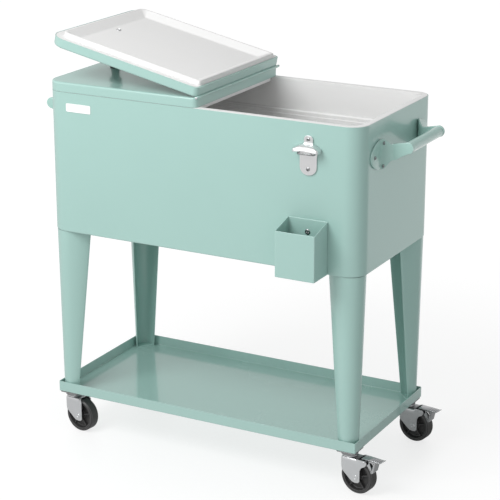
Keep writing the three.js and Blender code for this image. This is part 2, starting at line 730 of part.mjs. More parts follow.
// Handle bracket on the right end, back side
function handleBracket() {
  const h = HANDLE;
  const wall = HALF_LENGTH + GAP;
  const face = wall + h.flange;
  const outerY = h.inner + h.arm;
  const bendX = face + h.bend;
  const end = GRIP.x + GRIP.wrap + OVERRUN;
  const plan = [
    [wall, h.inner], [end, h.inner], [end, outerY],
    ...arcPoints(bendX, outerY + h.bend, h.bend, -Math.PI * HALF, -Math.PI, STEPS.bend),
    [face, h.ovalY + h.long], [wall, h.ovalY + h.long],
  ];
  const low = h.z - h.high;
  const high = h.z + h.high;
  const side = [
    [wall, low], [face, low], ...armPoints(ARM_LOW_SHARES),
    ...arcPoints(GRIP.x, GRIP.z, GRIP.wrap, -Math.PI * HALF, Math.PI * HALF, STEPS.arc),
    ...armPoints(ARM_HIGH_SHARES), [face, high], [wall, high],
  ];
  const oval = [[h.inner - OVERRUN, low]];
  for (let i = 0; i <= STEPS.arc + STEPS.bend; i += 1) {
    const a = Math.PI * (i / (STEPS.arc + STEPS.bend) - HALF);
    oval.push([h.ovalY + h.long * Math.cos(a), h.z + h.high * Math.sin(a)]);
  }
  oval.push([h.inner - OVERRUN, high]);
  let solid = slab(plan, low, high)
    .intersect(slabXZ(side, h.inner - OVERRUN, h.ovalY + h.long + OVERRUN))
    .intersect(slabYZ(oval, wall, end));
  const socket = bar(GRIP.peg + HOLE_PLAY, h.inner - OVERRUN, h.inner + GRIP.pegLength + HOLE_PLAY,
    "y", [GRIP.x, 0, GRIP.z], STEPS.round);
  solid = solid.subtract(socket);
  HANDLE_SCREWS.forEach(([y, z]) => {
    solid = solid.subtract(bar(SCREW.hole, wall - OVERRUN, face + OVERRUN, "x", [0, y, z],
      STEPS.hole));
  });
  return solid;
}

// Round grip with a peg at each end
function handleGrip() {
  const end = HANDLE.inner - GAP;
  const peg = HANDLE.inner + GRIP.pegLength;
  const at = [GRIP.x, 0, GRIP.z];
  return bar(GRIP.radius, -end, end, "y", at, STEPS.round)
    .add(bar(GRIP.peg, -peg, peg, "y", at, STEPS.round));
}

// Screw pointing along -X with its head against a face
function wallScrew(face, y, z) {
  const s = SCREW;
  const seat = face + GAP;
  const tip = HALF_LENGTH - TUB.sheet;
  return bar(s.head, seat, seat + s.headHeight, "x", [0, y, z], STEPS.screw)
    .add(bar(s.shank, tip, seat + OVERRUN, "x", [0, y, z], STEPS.hole));
}

// Screw pointing along +Y with its head in front of a face
function frontScrew(face, x, z, head) {
  const s = SCREW;
  const seat = face - GAP;
  const tip = TUB.sheet - HALF_WIDTH;
  return bar(head, seat - s.headHeight, seat, "y", [x, 0, z], STEPS.screw)
    .add(bar(s.shank, seat - OVERRUN, tip, "y", [x, 0, z], STEPS.hole));
}

// Bottle opener: back plate with a hood over its mouth
function bottleOpener() {
  const o = OPENER;
  const wall = -HALF_WIDTH - GAP;
  const face = wall - o.thick;
  const l = OPENER_LOW;
  const outline = [
    [-o.tabHalf, o.wideTop - OVERRUN],
    ...arcPoints(0, o.tabTop - o.tabHalf, o.tabHalf, Math.PI, 0, STEPS.arc),
    [o.tabHalf, o.wideTop - OVERRUN],
    [o.wideHalf - o.chamfer, o.wideTop - OVERRUN],
    [o.wideHalf, o.wideTop - o.chamfer - l.flare],
    [o.wideHalf, HOOD.bottom + l.flare],
    [l.half + l.flare, l.shoulder],
    ...arcPoints(0, l.bottom + l.half, l.half, 0, -Math.PI, STEPS.arc),
    [-l.half - l.flare, l.shoulder],
    [-o.wideHalf, HOOD.bottom + l.flare],
    [-o.wideHalf, o.wideTop - o.chamfer - l.flare],
    [o.chamfer - o.wideHalf, o.wideTop - OVERRUN],
  ].map(([x, z]) => [x + o.x, z]);
  const boxy = (share) => Math.sign(share) * Math.abs(share) ** HOOD_ROUND_SHARE;
  const oval = (halfX, reach, from) => arcPoints(0, 0, 1, Math.PI, 2 * Math.PI, STEPS.arc)
    .map(([x, y]) => [boxy(x) * halfX + o.x, boxy(y) * reach + from]);
  const h = HOOD;
  const hoodRings = [[h.bottom, 0], [h.top - h.slope, 0], [h.top, h.slope]].map(([z, inset]) => (
    oval(h.half - inset, h.reach - inset, wall).map(([x, y]) => [x, y, z])
  ));
  const hollowTop = h.top - h.roof - h.slope * HALF;
  const hollow = slab(oval(h.half - h.wall, h.reach - h.wall, face + OVERRUN), h.bottom - OVERRUN,
    hollowTop);
  const plate = slabXZ(outline, face, wall);
  let solid = skin(hoodRings).subtract(hollow).add(plate);
  OPENER_SCREWS.forEach(([x, z]) => {
    solid = solid.subtract(bar(SCREW.hole, face - OVERRUN, wall + OVERRUN, "y", [x, 0, z],
      STEPS.hole));
  });
  return solid;
}

// Cap catcher: a sheet box, open at the top, its front lower than its back
function capCatcher() {
  const c = CATCHER;
  const wall = -HALF_WIDTH - GAP;
  const front = wall - c.depth;
  const s = c.sheet;
  const outer = slabYZ([[wall, c.bottom], [wall, c.back], [front, c.front], [front, c.bottom]],
    c.x0, c.x1);
  const inner = block(c.x0 + s, c.x1 - s, front + s, wall - s, c.bottom + s, c.back + OVERRUN);
  const hole = bar(SCREW.hole, wall - s - OVERRUN, wall + OVERRUN, "y",
    [CATCHER_SCREW[0], 0, CATCHER_SCREW[1]], STEPS.hole);
  return outer.subtract(inner).subtract(hole);
}

// Blank name plate
function namePlate() {
  const l = LABEL;
  const wall = -HALF_WIDTH - GAP;
  const cut = [
    [l.x0 + l.corner, l.z0], [l.x1 - l.corner, l.z0], [l.x1, l.z0 + l.corner],
    [l.x1, l.z1 - l.corner], [l.x1 - l.corner, l.z1], [l.x0 + l.corner, l.z1],
    [l.x0, l.z1 - l.corner], [l.x0, l.z0 + l.corner],
  ];
  return slabXZ(cut, wall - l.thick, wall);
}

// Materials
function material(name, color, roughness, metalness) {
  const made = new THREE.MeshStandardMaterial({ color, roughness, metalness });
  made.name = name;
  return made;
}

const MATERIALS = {
  paint: material("painted_steel", 0xb9d9d2, 0.4, 0),
  liner: material("white_moulding", 0xe8e8e6, 0.5, 0),
  foam: material("foam", 0xf0ead8, 0.9, 0),
  black: material("black_plastic", 0x1c1d1f, 0.5, 0),
  zinc: material("zinc_steel", 0xb8bcc0, 0.35, 1),
  tyre: material("wheel_rubber", 0x26272a, 0.7, 0),
  handle: material("handle_plastic", 0xa3b9b4, 0.5, 0),
  label: material("label_white", 0xf4f4f2, 0.5, 0),
};

const cooler = new THREE.Group();
cooler.name = "rolling_patio_cooler";
cooler.position.set(0, FRAME_SHIFT, 0);

// One named mesh in a group
function put(name, solid, surface, parent = cooler) {
  const mesh = new THREE.Mesh(toCreasedNormals(geometryOf(solid), CREASE), surface.clone());
  mesh.name = name;
  parent.add(mesh);
}

// Group inside the cooler at a place, turned about one axis
function placedGroup(place, axis, angle) {
  const made = new THREE.Group();
  made.position.set(...place);
  made.rotation[axis] = angle;
  cooler.add(made);
  return made;
}

function addTub() {
  put("tub_shell", tubShell(), MATERIALS.paint);
  put("tub_liner", tubLiner(), MATERIALS.liner);
  put("tub_foam", tubFoam(), MATERIALS.foam);
  put("drain_spout", drainSpout(), MATERIALS.liner);
  put("drain_nut", drainNut(), MATERIALS.liner);
  put("drain_cap", drainCap(), MATERIALS.black);
}

function addLids() {
  const leftKnuckles = [0, 2, 4];
  const rightKnuckles = [1, 3];
  put("left_lid_shell", lidShell(leftKnuckles, rightKnuckles), MATERIALS.paint);
  put("left_lid_liner", lidLiner(), MATERIALS.liner);
  put("left_lid_foam", lidFoam(), MATERIALS.foam);
  put("left_lid_knob", lidKnob(), MATERIALS.black);
  put("left_knob_screw", knobScrew(), MATERIALS.zinc);
  const right = placedGroup([0, 0, HINGE.z], "y", OPEN_TILT - Math.PI);
  put("right_lid_shell", rightTwin(lidShell(rightKnuckles, leftKnuckles)), MATERIALS.paint, right);
  put("right_lid_liner", rightTwin(lidLiner()), MATERIALS.liner, right);
  put("right_lid_foam", rightTwin(lidFoam()), MATERIALS.foam, right);
  put("right_lid_knob", rightTwin(lidKnob()), MATERIALS.black, right);
  put("right_knob_screw", rightTwin(knobScrew()), MATERIALS.zinc, right);
  put("hinge_rod", hingeRod(), MATERIALS.zinc);
}

const CORNERS = [
  ["front_left", -1, -1],
  ["front_right", 1, -1],
  ["back_left", -1, 1],
  ["back_right", 1, 1],
];

function addStand() {
  CORNERS.forEach(([name, sx, sy]) => {
    put(`${name}_leg`, moved(leg(), mirror(sx, sy)), MATERIALS.paint);
  });
  put("shelf", shelf(), MATERIALS.paint);
  CORNERS.forEach(([name, sx, sy]) => {
    const braked = sx > 0;
    const place = [sx * SWIVEL.x, sy * SWIVEL.y, 0];
    const fixed = placedGroup(place, "z", 0);
    const swivel = placedGroup(place, "z", radians(SWIVEL.yaw));
    put(`${name}_caster_plate`, casterPlate(), MATERIALS.zinc, fixed);
    put(`${name}_fork`, fork(braked), MATERIALS.zinc, swivel);
    put(`${name}_wheel`, wheel(), MATERIALS.tyre, swivel);
    if (braked) {
      put(`${name}_pedal`, pedal(), MATERIALS.zinc, swivel);
    }
  });
}

function addHandles() {
  [["left", -1], ["right", 1]].forEach(([end, sx]) => {
    [["front", -1], ["back", 1]].forEach(([side, sy]) => {
      put(`${end}_handle_${side}_bracket`, moved(handleBracket(), mirror(sx, sy)),
        MATERIALS.handle);
      const face = HALF_LENGTH + GAP + HANDLE.flange;
      HANDLE_SCREWS.forEach(([y, z], i) => {
        const screw = moved(wallScrew(face, y, z), mirror(sx, sy));
        put(`${end}_handle_${side}_screw_${i + 1}`, screw, MATERIALS.zinc);
      });
    });
    put(`${end}_handle_grip`, moved(handleGrip(), mirror(sx, 1)), MATERIALS.handle);
  });
}

function addFront() {
  const wall = -HALF_WIDTH - GAP;
  put("bottle_opener", bottleOpener(), MATERIALS.zinc);
  OPENER_SCREWS.forEach(([x, z], i) => {
    put(`opener_screw_${i + 1}`, frontScrew(wall - OPENER.thick, x, z, SCREW.head), MATERIALS.zinc);
  });
  put("cap_catcher", capCatcher(), MATERIALS.paint);
  put("catcher_screw", frontScrew(wall - CATCHER.sheet, ...CATCHER_SCREW, PAN_HEAD), MATERIALS.zinc);
  put("name_plate", namePlate(), MATERIALS.label);
}

addTub();
addLids();
addStand();
addHandles();
addFront();

export default cooler;
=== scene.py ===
"""Surfaces and finishes of a rolling patio cooler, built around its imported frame.

Every piece is a grid of points worked out with numpy, in metres, in the frame's own axes:
+Z up, +X to the right end and +Y to the back.
"""

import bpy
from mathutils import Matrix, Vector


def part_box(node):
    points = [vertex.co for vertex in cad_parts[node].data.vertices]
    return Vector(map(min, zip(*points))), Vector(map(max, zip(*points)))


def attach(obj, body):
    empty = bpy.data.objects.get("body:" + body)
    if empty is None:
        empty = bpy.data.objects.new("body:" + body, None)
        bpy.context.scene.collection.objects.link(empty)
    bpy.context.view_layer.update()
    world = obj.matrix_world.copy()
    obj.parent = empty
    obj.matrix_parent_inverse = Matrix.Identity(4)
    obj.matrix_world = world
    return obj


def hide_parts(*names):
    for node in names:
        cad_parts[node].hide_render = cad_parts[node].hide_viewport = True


bl_info = {
    "name": "Rolling patio cooler",
    "version": (1, 0, 0),
    "blender": (4, 5, 0),
    "location": "3D View > Sidebar > Cooler",
    "description": "Builds the surfaces and finishes of a rolling patio cooler on its frame",
    "category": "Object",
}

import math

import bmesh
import bpy
import numpy as np
from bpy.props import FloatProperty, FloatVectorProperty, PointerProperty
from mathutils import Matrix, Vector

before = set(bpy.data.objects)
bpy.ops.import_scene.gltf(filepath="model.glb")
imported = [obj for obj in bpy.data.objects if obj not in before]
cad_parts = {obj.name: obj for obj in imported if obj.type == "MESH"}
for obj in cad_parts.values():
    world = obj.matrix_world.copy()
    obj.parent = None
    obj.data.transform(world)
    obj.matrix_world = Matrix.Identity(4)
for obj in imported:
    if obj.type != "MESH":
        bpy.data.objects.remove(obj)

MM = 0.001
HALF = 0.5
GAP = 0.3 * MM
QUARTER_TURN = math.pi / 2
TINY = 1e-9
MERGE = 1e-6
SHARP = math.radians(38)
EDGE_ANGLE = math.radians(50)
WHITE = (1, 1, 1, 1)

SHELL_LOW, SHELL_HIGH = np.array(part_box("tub_shell"))
SHELF_LOW, SHELF_HIGH = np.array(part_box("shelf"))
CATCHER_LOW, CATCHER_HIGH = np.array(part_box("cap_catcher"))
LABEL_LOW, LABEL_HIGH = np.array(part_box("name_plate"))

TUB_HALF_X, TUB_HALF_Y, _ = (SHELL_HIGH - SHELL_LOW) * HALF
TUB_Y = (SHELL_HIGH[1] + SHELL_LOW[1]) * HALF
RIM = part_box("tub_liner")[1][2]
FRONT = SHELL_LOW[1] - GAP
UPSIDE_DOWN = Matrix.Rotation(math.pi, 4, "X")
CORNERS = (
    ("front_left", -1, -1),
    ("front_right", 1, -1),
    ("back_left", -1, 1),
    ("back_right", 1, 1),
)


def length(name, text, millimetres):
    """A size a user may change, given in millimetres and kept in metres."""
    return FloatProperty(
        name=name, description=text, default=millimetres * MM, min=0.0, precision=4,
        unit="LENGTH", subtype="DISTANCE",
    )


def turn(name, text, degrees):
    """An angle a user may change, given in degrees and kept in radians."""
    angle = math.radians(degrees)
    return FloatProperty(
        name=name, description=text, default=angle, unit="ROTATION", subtype="ANGLE",
    )


def tint(name, text, colour):
    """A colour a user may change."""
    return FloatVectorProperty(
        name=name, description=text, default=colour, size=3, min=0.0, max=1.0, subtype="COLOR",
    )


def strength(name, text, value):
    """A strength of the light that a user may change."""
    return FloatProperty(name=name, description=text, default=value, min=0.0, subtype="FACTOR")


class TubSizes(bpy.types.PropertyGroup):
    """Sizes of the tub shell and its liner."""

    corner: length("Corner", "Radius of the tub's upright corners", 42)
    sheet: length("Sheet", "Thickness of the painted sheet", 1.5)
    bottom_bend: length("Bottom bend", "Bend radius along the bottom edge", 3)
    edge: length("Wall edge", "Height of the painted wall's upper edge", 867.2)
    flange: length("Flange", "Thickness of the liner's flange on the walls", 2.7)
    flange_inset: length("Flange inset", "Flange's edge behind the tub face", 1.7)
    wall: length("Liner wall", "Thickness of the moulded liner", 2.5)
    upper: length("Upper inset", "Liner face behind the tub face above the ledge", 18)
    lower: length("Lower inset", "Liner face behind the tub face below the ledge", 26)
    ledge: length("Ledge height", "Height of the ledge inside the liner", 792.7)
    ledge_fall: length("Ledge fall", "How much the ledge slopes down", 3)
    step: length("Step inset", "Liner face behind the tub face between ledge and step", 24.2)
    step_height: length("Step height", "Height of the small step under the ledge", 782)
    floor: length("Liner floor", "Height of the liner's floor", 561)
    floor_bend: length("Floor bend", "Radius between the liner's wall and floor", 14)


class DrainSizes(bpy.types.PropertyGroup):
    """Sizes of the drain on the left end."""

    height: length("Height", "Height of the drain's axis", 577)
    tube: length("Tube", "Outer radius of the spout", 8)
    bore: length("Bore", "Inner radius of the spout", 5.5)
    flange: length("Flange", "Radius of the flange inside the liner", 14)
    flange_depth: length("Flange depth", "Thickness of the inner flange", 2.4)
    end: length("End", "Distance from the middle to the spout's end", 430)
    nut: length("Nut", "Corner radius of the nut", 14)
    nut_depth: length("Nut depth", "Thickness of the nut", 6)
    cap: length("Cap", "Outer radius of the cap", 13.5)
    cap_bore: length("Cap bore", "Inner radius of the cap", 8.4)
    cap_start: length("Cap start", "Distance from the middle to the cap's open end", 417.6)
    cap_end: length("Cap end", "Distance from the middle to the cap's closed end", 434)
    cap_floor: length("Cap floor", "Thickness of the cap's closed end", 3.4)


class LidSizes(bpy.types.PropertyGroup):
    """Sizes of the two lids, their knobs and the hinge between them."""

    gap: length("Gap", "Gap between the skirt and the tub's rim", 0.3)
    top: length("Top", "Height of a closed lid's top", 891)
    split: length("Split", "Gap from the hinge line to a lid's end", 1.6)
    hinge_corner: length("Hinge corner", "Corner radius at the hinge end", 12)
    end_wall: length("End wall", "Thickness of the shell at the hinge end", 5)
    sheet: length("Sheet", "Thickness of the painted lid sheet", 1.5)
    round: length("Rounding", "Rounding of the top edges", 4.4)
    plug_inset: length("Plug inset", "Plug's side behind the tub face", 21)
    plug_hinge: length("Plug hinge inset", "Plug's side behind the lid's hinge end", 6.5)
    plug_depth: length("Plug depth", "How far the plug reaches below the rim", 11.2)
    plug_rim: length("Plug rim", "Width of the plug's raised rim", 6)
    plug_slope: length("Plug slope", "Width of the slope inside the rim", 22)
    panel: length("Panel", "Height of the flat panel above the skirt's edge", 2.7)
    moulding: length("Moulding", "Thickness of the moulded underside", 2.5)
    knob_reach: length("Knob reach", "Distance from the hinge to the knob", 342)
    knob_height: length("Knob height", "Height of the knob over the lid", 36)
    knob_foot: length("Knob foot", "Radius of the knob's foot", 13)
    knob_stem: length("Knob stem", "Radius of the knob's stem", 10)
    knob_head: length("Knob head", "Radius of the knob's head", 15.5)
    knob_flat: length("Knob flat", "Radius of the flat on the knob", 8)
    knob_depth: length("Knob head depth", "Height of the knob's head", 11)
    hinge_height: length("Hinge height", "Height of the hinge line", 891.5)
    knuckle: length("Knuckle", "Radius of the rolled hinge knuckles", 3.3)
    rod: length("Rod", "Radius of the hinge rod", 1.6)
    reach: length("Hinge reach", "Distance from the middle to the last knuckle's end", 198)
    head: length("Rod head", "Radius of the rod's heads", 2.8)
    head_height: length("Rod head height", "Height of the rod's heads", 2.2)
    overhang: length("Rod overhang", "How far the rod stands out of the tub's side", 3)
    tilt: turn("Resting tilt", "Angle between the folded lid and the closed one", 12.185)


class StandSizes(bpy.types.PropertyGroup):
    """Sizes of the legs and the shelf."""

    sheet: length("Leg sheet", "Thickness of the leg's sheet", 2)
    turn: turn("Turn", "How far the corner bend goes past a quarter turn", 22)
    curl: turn("Curl", "Angle over which a flange curls outwards", 30)
    high: length("High end", "Height of a leg's upper end", 524.7)
    high_inset: length("High inset", "Leg's corner behind the tub face at the top", 2.7)
    high_corner: length("High corner", "Corner radius at the top", 34.9)
    high_flange: length("High flange", "Flange length at the top", 52.6)
    low: length("Low end", "Height of a leg's lower end", 104)
    low_inset: length("Low inset", "Leg's corner behind the tub face at the foot", 9.3)
    low_corner: length("Low corner", "Corner radius at the foot", 23.2)
    low_flange: length("Low flange", "Flange length at the foot", 15.2)
    shelf_corner: length("Shelf corner", "Corner radius of the shelf", 3)
    shelf_sheet: length("Shelf sheet", "Thickness of the shelf's sheet", 1.5)
    shelf_bend: length("Shelf bend", "Bend radius along the shelf's lower edge", 2.5)


class CasterSizes(bpy.types.PropertyGroup):
    """Sizes of the casters and their brakes."""

    x: length("Swivel X", "Distance from the middle to a swivel along the length", 380)
    y: length("Swivel Y", "Distance from the middle to a swivel along the width", 167.4)
    yaw: turn("Yaw", "How far the casters are turned in the photo", -8)
    radius: length("Wheel radius", "Rolling radius of the wheel", 41.5)
    half: length("Wheel half", "Half the wheel's width", 13.9)
    trail: length("Trail", "Distance from the swivel to the axle", 26.8)
    bore: length("Bore", "Radius of the wheel's bore", 4.4)
    hub: length("Hub", "Radius of the hub", 9)
    hub_half: length("Hub half", "Half the hub's width", 15)
    web: length("Web", "Half the thickness of the wheel's web", 3.4)
    plate_x: length("Plate X", "Half the plate's length", 24.5)
    plate_y: length("Plate Y", "Half the plate's width", 26)
    plate: length("Plate", "Thickness of the mounting plate", 2.5)
    race: length("Race", "Radius of the upper race", 20)
    race_bottom: length("Race bottom", "Height of the race's lower face", 91)
    fork_half: length("Fork half", "Half the fork's outer width", 17.7)
    fork_sheet: length("Fork sheet", "Thickness of the fork's sheet", 2.2)
    fork_top: length("Fork top", "Height of the fork's deck", 88)
    deck_end: length("Deck end", "Distance from the swivel to the deck's free end", 31)
    ring: length("Ring", "Radius of the lower race ring", 17)
    ring_top: length("Ring top", "Height of the lower race ring", 90.7)
    axle_head: length("Axle head", "Radius of the axle's heads", 6.2)
    axle_height: length("Axle head height", "Height of the axle's heads", 1.6)
    pivot_u: length("Pivot reach", "Distance from the swivel to the brake's pivot", 48)
    pivot_z: length("Pivot height", "Height of the brake's pivot", 83.2)
    pivot_head: length("Pivot head", "Radius of the pivot's heads", 3.2)
    barrel: length("Barrel", "Outer radius of the pedal's barrel", 3.9)
    pedal: length("Pedal half", "Half the pedal's width", 11)


class HandleSizes(bpy.types.PropertyGroup):
    """Sizes of the side handles."""

    z: length("Height", "Height of the flange's middle", 791)
    inner: length("Inner", "Distance from the middle to the arm's inner face", 85)
    arm: length("Arm", "Thickness of the arm", 6.5)
    flange: length("Flange", "Thickness of the flange", 4)
    oval_y: length("Oval middle", "Distance from the middle to the oval's middle", 92)
    long: length("Oval reach", "Half length of the flange's oval", 66)
    high: length("Oval height", "Half height of the flange's oval", 35.5)
    bend: length("Bend", "Radius between flange and arm", 24)
    grip_x: length("Grip X", "Distance from the middle to the grip's axis", 470.5)
    grip_z: length("Grip Z", "Height of the grip's axis", 807.3)
    grip: length("Grip radius", "Radius of the grip", 12.6)
    wrap: length("Wrap", "Radius of the arm's end round the grip", 13.5)


class FittingSizes(bpy.types.PropertyGroup):
    """Sizes of the opener, the cap catcher, the name plate and the screws."""

    opener_x: length("Opener X", "Distance from the middle to the opener's axis", 283)
    plate: length("Opener plate", "Thickness of the opener's plate", 3)
    tab_half: length("Tab", "Half the width of the upper tab", 11)
    tab_top: length("Tab top", "Height of the upper tab's end", 839)
    wide_top: length("Hood top", "Height of the hood's top", 822)
    wide_bottom: length("Hood bottom", "Height of the hood's lip", 805)
    wide_half: length("Hood half", "Half the width of the hood", 32.8)
    hood_reach: length("Hood reach", "How far the hood stands out from the wall", 24)
    low_half: length("Lower half", "Half the width of the lower plate", 21)
    shoulder: length("Shoulder", "Height where the lower plate begins", 799)
    low_bottom: length("Lower end", "Height of the lower plate's end", 749)
    catcher_sheet: length("Catcher sheet", "Thickness of the catcher's sheet", 1.5)
    catcher_front: length("Catcher front", "Height of the catcher's front edge", 632)
    label_corner: length("Plate corner", "Corner radius of the blank name plate", 3)
    screw: length("Screw head", "Radius of a screw's head", 4.2)
    screw_height: length("Screw height", "Height of a screw's head", 2.4)
    pan: length("Pan head", "Radius of the catcher screw's head", 6.4)


class Finishes(bpy.types.PropertyGroup):
    """Colours of the finishes and strengths of the light."""

    mint: tint("Mint", "Paint of the tub, lids, legs and shelf", (0.34, 0.527, 0.484))
    # Lighter mint on tight bends: thinner paint, and partly a painted highlight along the edges
    mint_edge_paint_and_highlight: tint("Mint edge", "Paint where it thins over an edge", (0.43, 0.61, 0.57))
    handle: tint("Handle", "Paint of the handles", (0.34, 0.54, 0.49))
    white: tint("White", "Moulded liner and lid undersides", (0.78, 0.78, 0.775))
    foam: tint("Foam", "Insulation foam", (0.83, 0.77, 0.6))
    black: tint("Black", "Knobs and drain cap", (0.018, 0.018, 0.02))
    zinc: tint("Zinc", "Bright plated sheet and screws", (0.66, 0.67, 0.68))
    steel: tint("Steel", "Polished opener", (0.76, 0.765, 0.77))
    satin: tint("Satin", "Satin back plate of the opener", (0.84, 0.84, 0.845))
    # Darker than the zinc: painted shade for the dark shelf underside that the pedal mirrors
    pedal: tint("Pedal", "Brake pedals", (0.55, 0.56, 0.57))
    # This dark steel is also painted shade on the caster plates, their races and the opener's
    # tongue
    screw: tint("Screw", "Screws of the handles and the opener", (0.32, 0.325, 0.33))
    tread: tint("Tread", "Wheels", (0.013, 0.0135, 0.0145))
    label: tint("Plate", "Blank name plate", (0.86, 0.86, 0.85))
    floor: tint("Floor", "Studio floor", (0.25, 0.25, 0.25))
    lamp: strength("Lamp", "Power of the soft lamp in watts", 49.0)
    sky: strength("Sky", "Strength of the even studio light", 0.59)
    horizon: strength("Horizon", "Extra light low in the sky", 0.42)
    glow: strength("Floor glow", "Glow of the lit floor as seen", 0.72)
    bounce: strength("Floor bounce", "Glow that lights the object", 0.45)


def metres(millimetres):
    """Sizes or places given in millimetres as an array in metres."""
    return np.array(millimetres) * MM


def fillet(corners, radii, steps=6, hold=0.0, closed=True):
    """A polygon whose corners are circle arcs.

    At each corner the circle of the given radius that touches both sides is sampled at equal
    angles; its centre lies on the bisector, radius / sin(half the inside angle) from the corner.
    A hold adds one point on each side just outside the arc. Leading axes are worked together.
    """
    p = np.asarray(corners, float)
    r = np.broadcast_to(np.asarray(radii, float), p.shape[:-1]).copy()
    keep = np.full(p.shape[:-1], float(hold))
    back = np.roll(p, 1, -2) - p
    ahead = np.roll(p, -1, -2) - p
    if not closed:
        back[..., 0, :] = -ahead[..., 0, :]
        ahead[..., -1, :] = -back[..., -1, :]
        r[..., [0, -1]] = 0.0
        keep[..., [0, -1]] = 0.0
    back_length = np.linalg.norm(back, axis=-1)
    ahead_length = np.linalg.norm(ahead, axis=-1)
    back = back / back_length[..., None]
    ahead = ahead / ahead_length[..., None]
    half = np.arccos(np.clip((back * ahead).sum(-1), -1, 1)) * HALF
    reach = r / np.maximum(np.tan(half), TINY)
    room = np.minimum(back_length, ahead_length) * HALF - keep
    fit = np.minimum(1.0, room / np.maximum(reach, TINY))
    r, reach = r * fit, reach * fit
    middle = back + ahead
    middle = middle / np.maximum(np.linalg.norm(middle, axis=-1), TINY)[..., None]
    centre = p + middle * (r / np.maximum(np.sin(half), TINY))[..., None]
    start = p + back * reach[..., None] - centre
    first = np.arctan2(start[..., 1], start[..., 0])
    side = np.sign(ahead[..., 0] * back[..., 1] - ahead[..., 1] * back[..., 0])
    sweep = side * (math.pi - 2 * half)
    angle = first[..., None] + sweep[..., None] * np.linspace(0, 1, steps + 1)
    arc = centre[..., None, :] + r[..., None, None] * np.stack([np.cos(angle), np.sin(angle)], -1)
    if hold:
        before = p + back * (reach + keep)[..., None]
        after = p + ahead * (reach + keep)[..., None]
        arc = np.concatenate([before[..., None, :], arc, after[..., None, :]], -2)
    return arc.reshape(p.shape[:-2] + (-1, 2))


def without_repeats(points):
    """Points that differ from the one before them."""
    step = np.linalg.norm(points - np.roll(points, 1, 0), axis=1)
    return points[step > MERGE]


def rounded_path(corners, radii, steps=6, hold=0.0):
    """An open line with rounded corners and no point twice."""
    return without_repeats(fillet(corners, radii, steps, hold, closed=False))


def surface(points, around=True, loop=False, first=False, last=False, keep=None):
    """Four-sided faces between neighbouring points of a grid.

    around joins the last column to the first, loop the last row to the first; first and last
    close those rows with one face each; keep is a mask of the faces that stay.
    """
    rows, cols = points.shape[:2]
    i = np.arange(rows if loop else rows - 1)[:, None]
    j = np.arange(cols if around else cols - 1)[None, :]
    j2 = (j + 1) % cols
    i2 = (i + 1) % rows
    quads = np.stack(
        np.broadcast_arrays(i * cols + j, i * cols + j2, i2 * cols + j2, i2 * cols + j), -1
    )
    quads = quads.reshape(-1, 4) if keep is None else quads[keep]
    faces = quads.tolist()
    if first:
        faces.append(list(range(cols))[::-1])
    if last:
        faces.append(list(range((rows - 1) * cols, rows * cols)))
    return points.reshape(-1, 3), faces


def moved(part, matrix):
    """A part's points multiplied by a matrix."""
    points, faces = part
    m = np.array(matrix)
    return points @ m[:3, :3].T + m[:3, 3], faces


def all_moved(parts, matrix):
    """Several parts multiplied by one matrix."""
    return [moved(part, matrix) for part in parts]


def placed(part, x=0.0, y=0.0, z=0.0):
    """A part moved along the axes."""
    return moved(part, Matrix.Translation((x, y, z)))


def mirrored(part, sx, sy):
    """A part turned into its twin across X, Y or both, where a sign is negative."""
    return moved(part, Matrix.Diagonal((sx, sy, 1, 1)))


def on_front(part, x, y, z=0.0):
    """A part made flat in X and Y, stood up on the front: its Z becomes the way forward."""
    points, faces = part
    return np.stack([points[:, 0] + x, y - points[:, 2], points[:, 1] + z], -1), faces


def swapped(part):
    """A part whose Y and Z change places."""
    points, faces = part
    return points[:, [0, 2, 1]], faces


def along_x(part):
    """A part made along Z, laid along X."""
    return moved(part, Matrix.Rotation(QUARTER_TURN, 4, "Y"))


def along_y(part):
    """A part made along Z, laid along Y."""
    return moved(part, Matrix.Rotation(-QUARTER_TURN, 4, "X"))


def ring_points(x0, x1, y0, y1, radii, steps, hold):
    """Rounded rectangles, one for each entry of the arrays: quarter circles on four centres."""
    x0, x1, y0, y1 = np.broadcast_arrays(x0, x1, y0, y1)
    corners = np.stack([np.stack([x1, x0, x0, x1], -1), np.stack([y1, y1, y0, y0], -1)], -1)
    return fillet(corners, radii, steps, hold)


def centred_rings(half_x, half_y, radii, steps, hold=0.0, inset=0.0):
    """Rounded rectangles about the axis, each drawn in by its inset."""
    x, y = half_x - inset, half_y - inset
    return ring_points(-x, x, -y, y, radii, steps, hold)


def stack_rings(rings, heights):
    """Rings of X and Y set at their heights."""
    z = np.broadcast_to(np.asarray(heights)[..., None], rings.shape[:-1])
    return np.concatenate([rings, z[..., None]], -1)


def capped(rings, heights):
    """A closed part of rings at their heights, with the first and the last one filled."""
    return surface(stack_rings(rings, heights), first=True, last=True)


def turned(profile, segments=48, wave=None):
    """Radius and height pairs carried round the Z axis, times a wave over the angle."""
    profile = np.asarray(profile, float)
    angle = np.linspace(0, 2 * math.pi, segments, endpoint=False)
    radius = profile[:, :1] * np.ones(segments)
    if wave is not None:
        radius = radius * wave(angle, profile)
    height = np.broadcast_to(profile[:, 1:2], radius.shape)
    points = np.stack([radius * np.cos(angle), radius * np.sin(angle), height], -1)
    return surface(points)


def turned_corners(corners, radii, steps=5, segments=48, hold=0.0):
    """A turned part from the corners of its profile, rounded; both ends lie on the axis."""
    return turned(fillet(corners, radii, steps, hold, closed=False), segments)


def turned_ring(profile, segments, wave=None):
    """A turned part whose profile is a closed loop beside the axis."""
    points, _ = turned(profile, segments, wave)
    return surface(points.reshape(len(profile), segments, 3), loop=True)


def rod(radius, start, end, edge=0.0, segments=24, hold=0.0):
    """A round bar along the Z axis with rounded rims."""
    corners = [[0, start], [radius, start], [radius, end], [0, end]]
    return turned_corners(corners, edge, 3 if edge else 1, segments, hold)


def headed_rod(radius, half, head):
    """A rod about the origin along Z, with a head on both ends."""
    above = placed(head, z=half)
    return [rod(radius, -half, half), above, moved(above, UPSIDE_DOWN)]


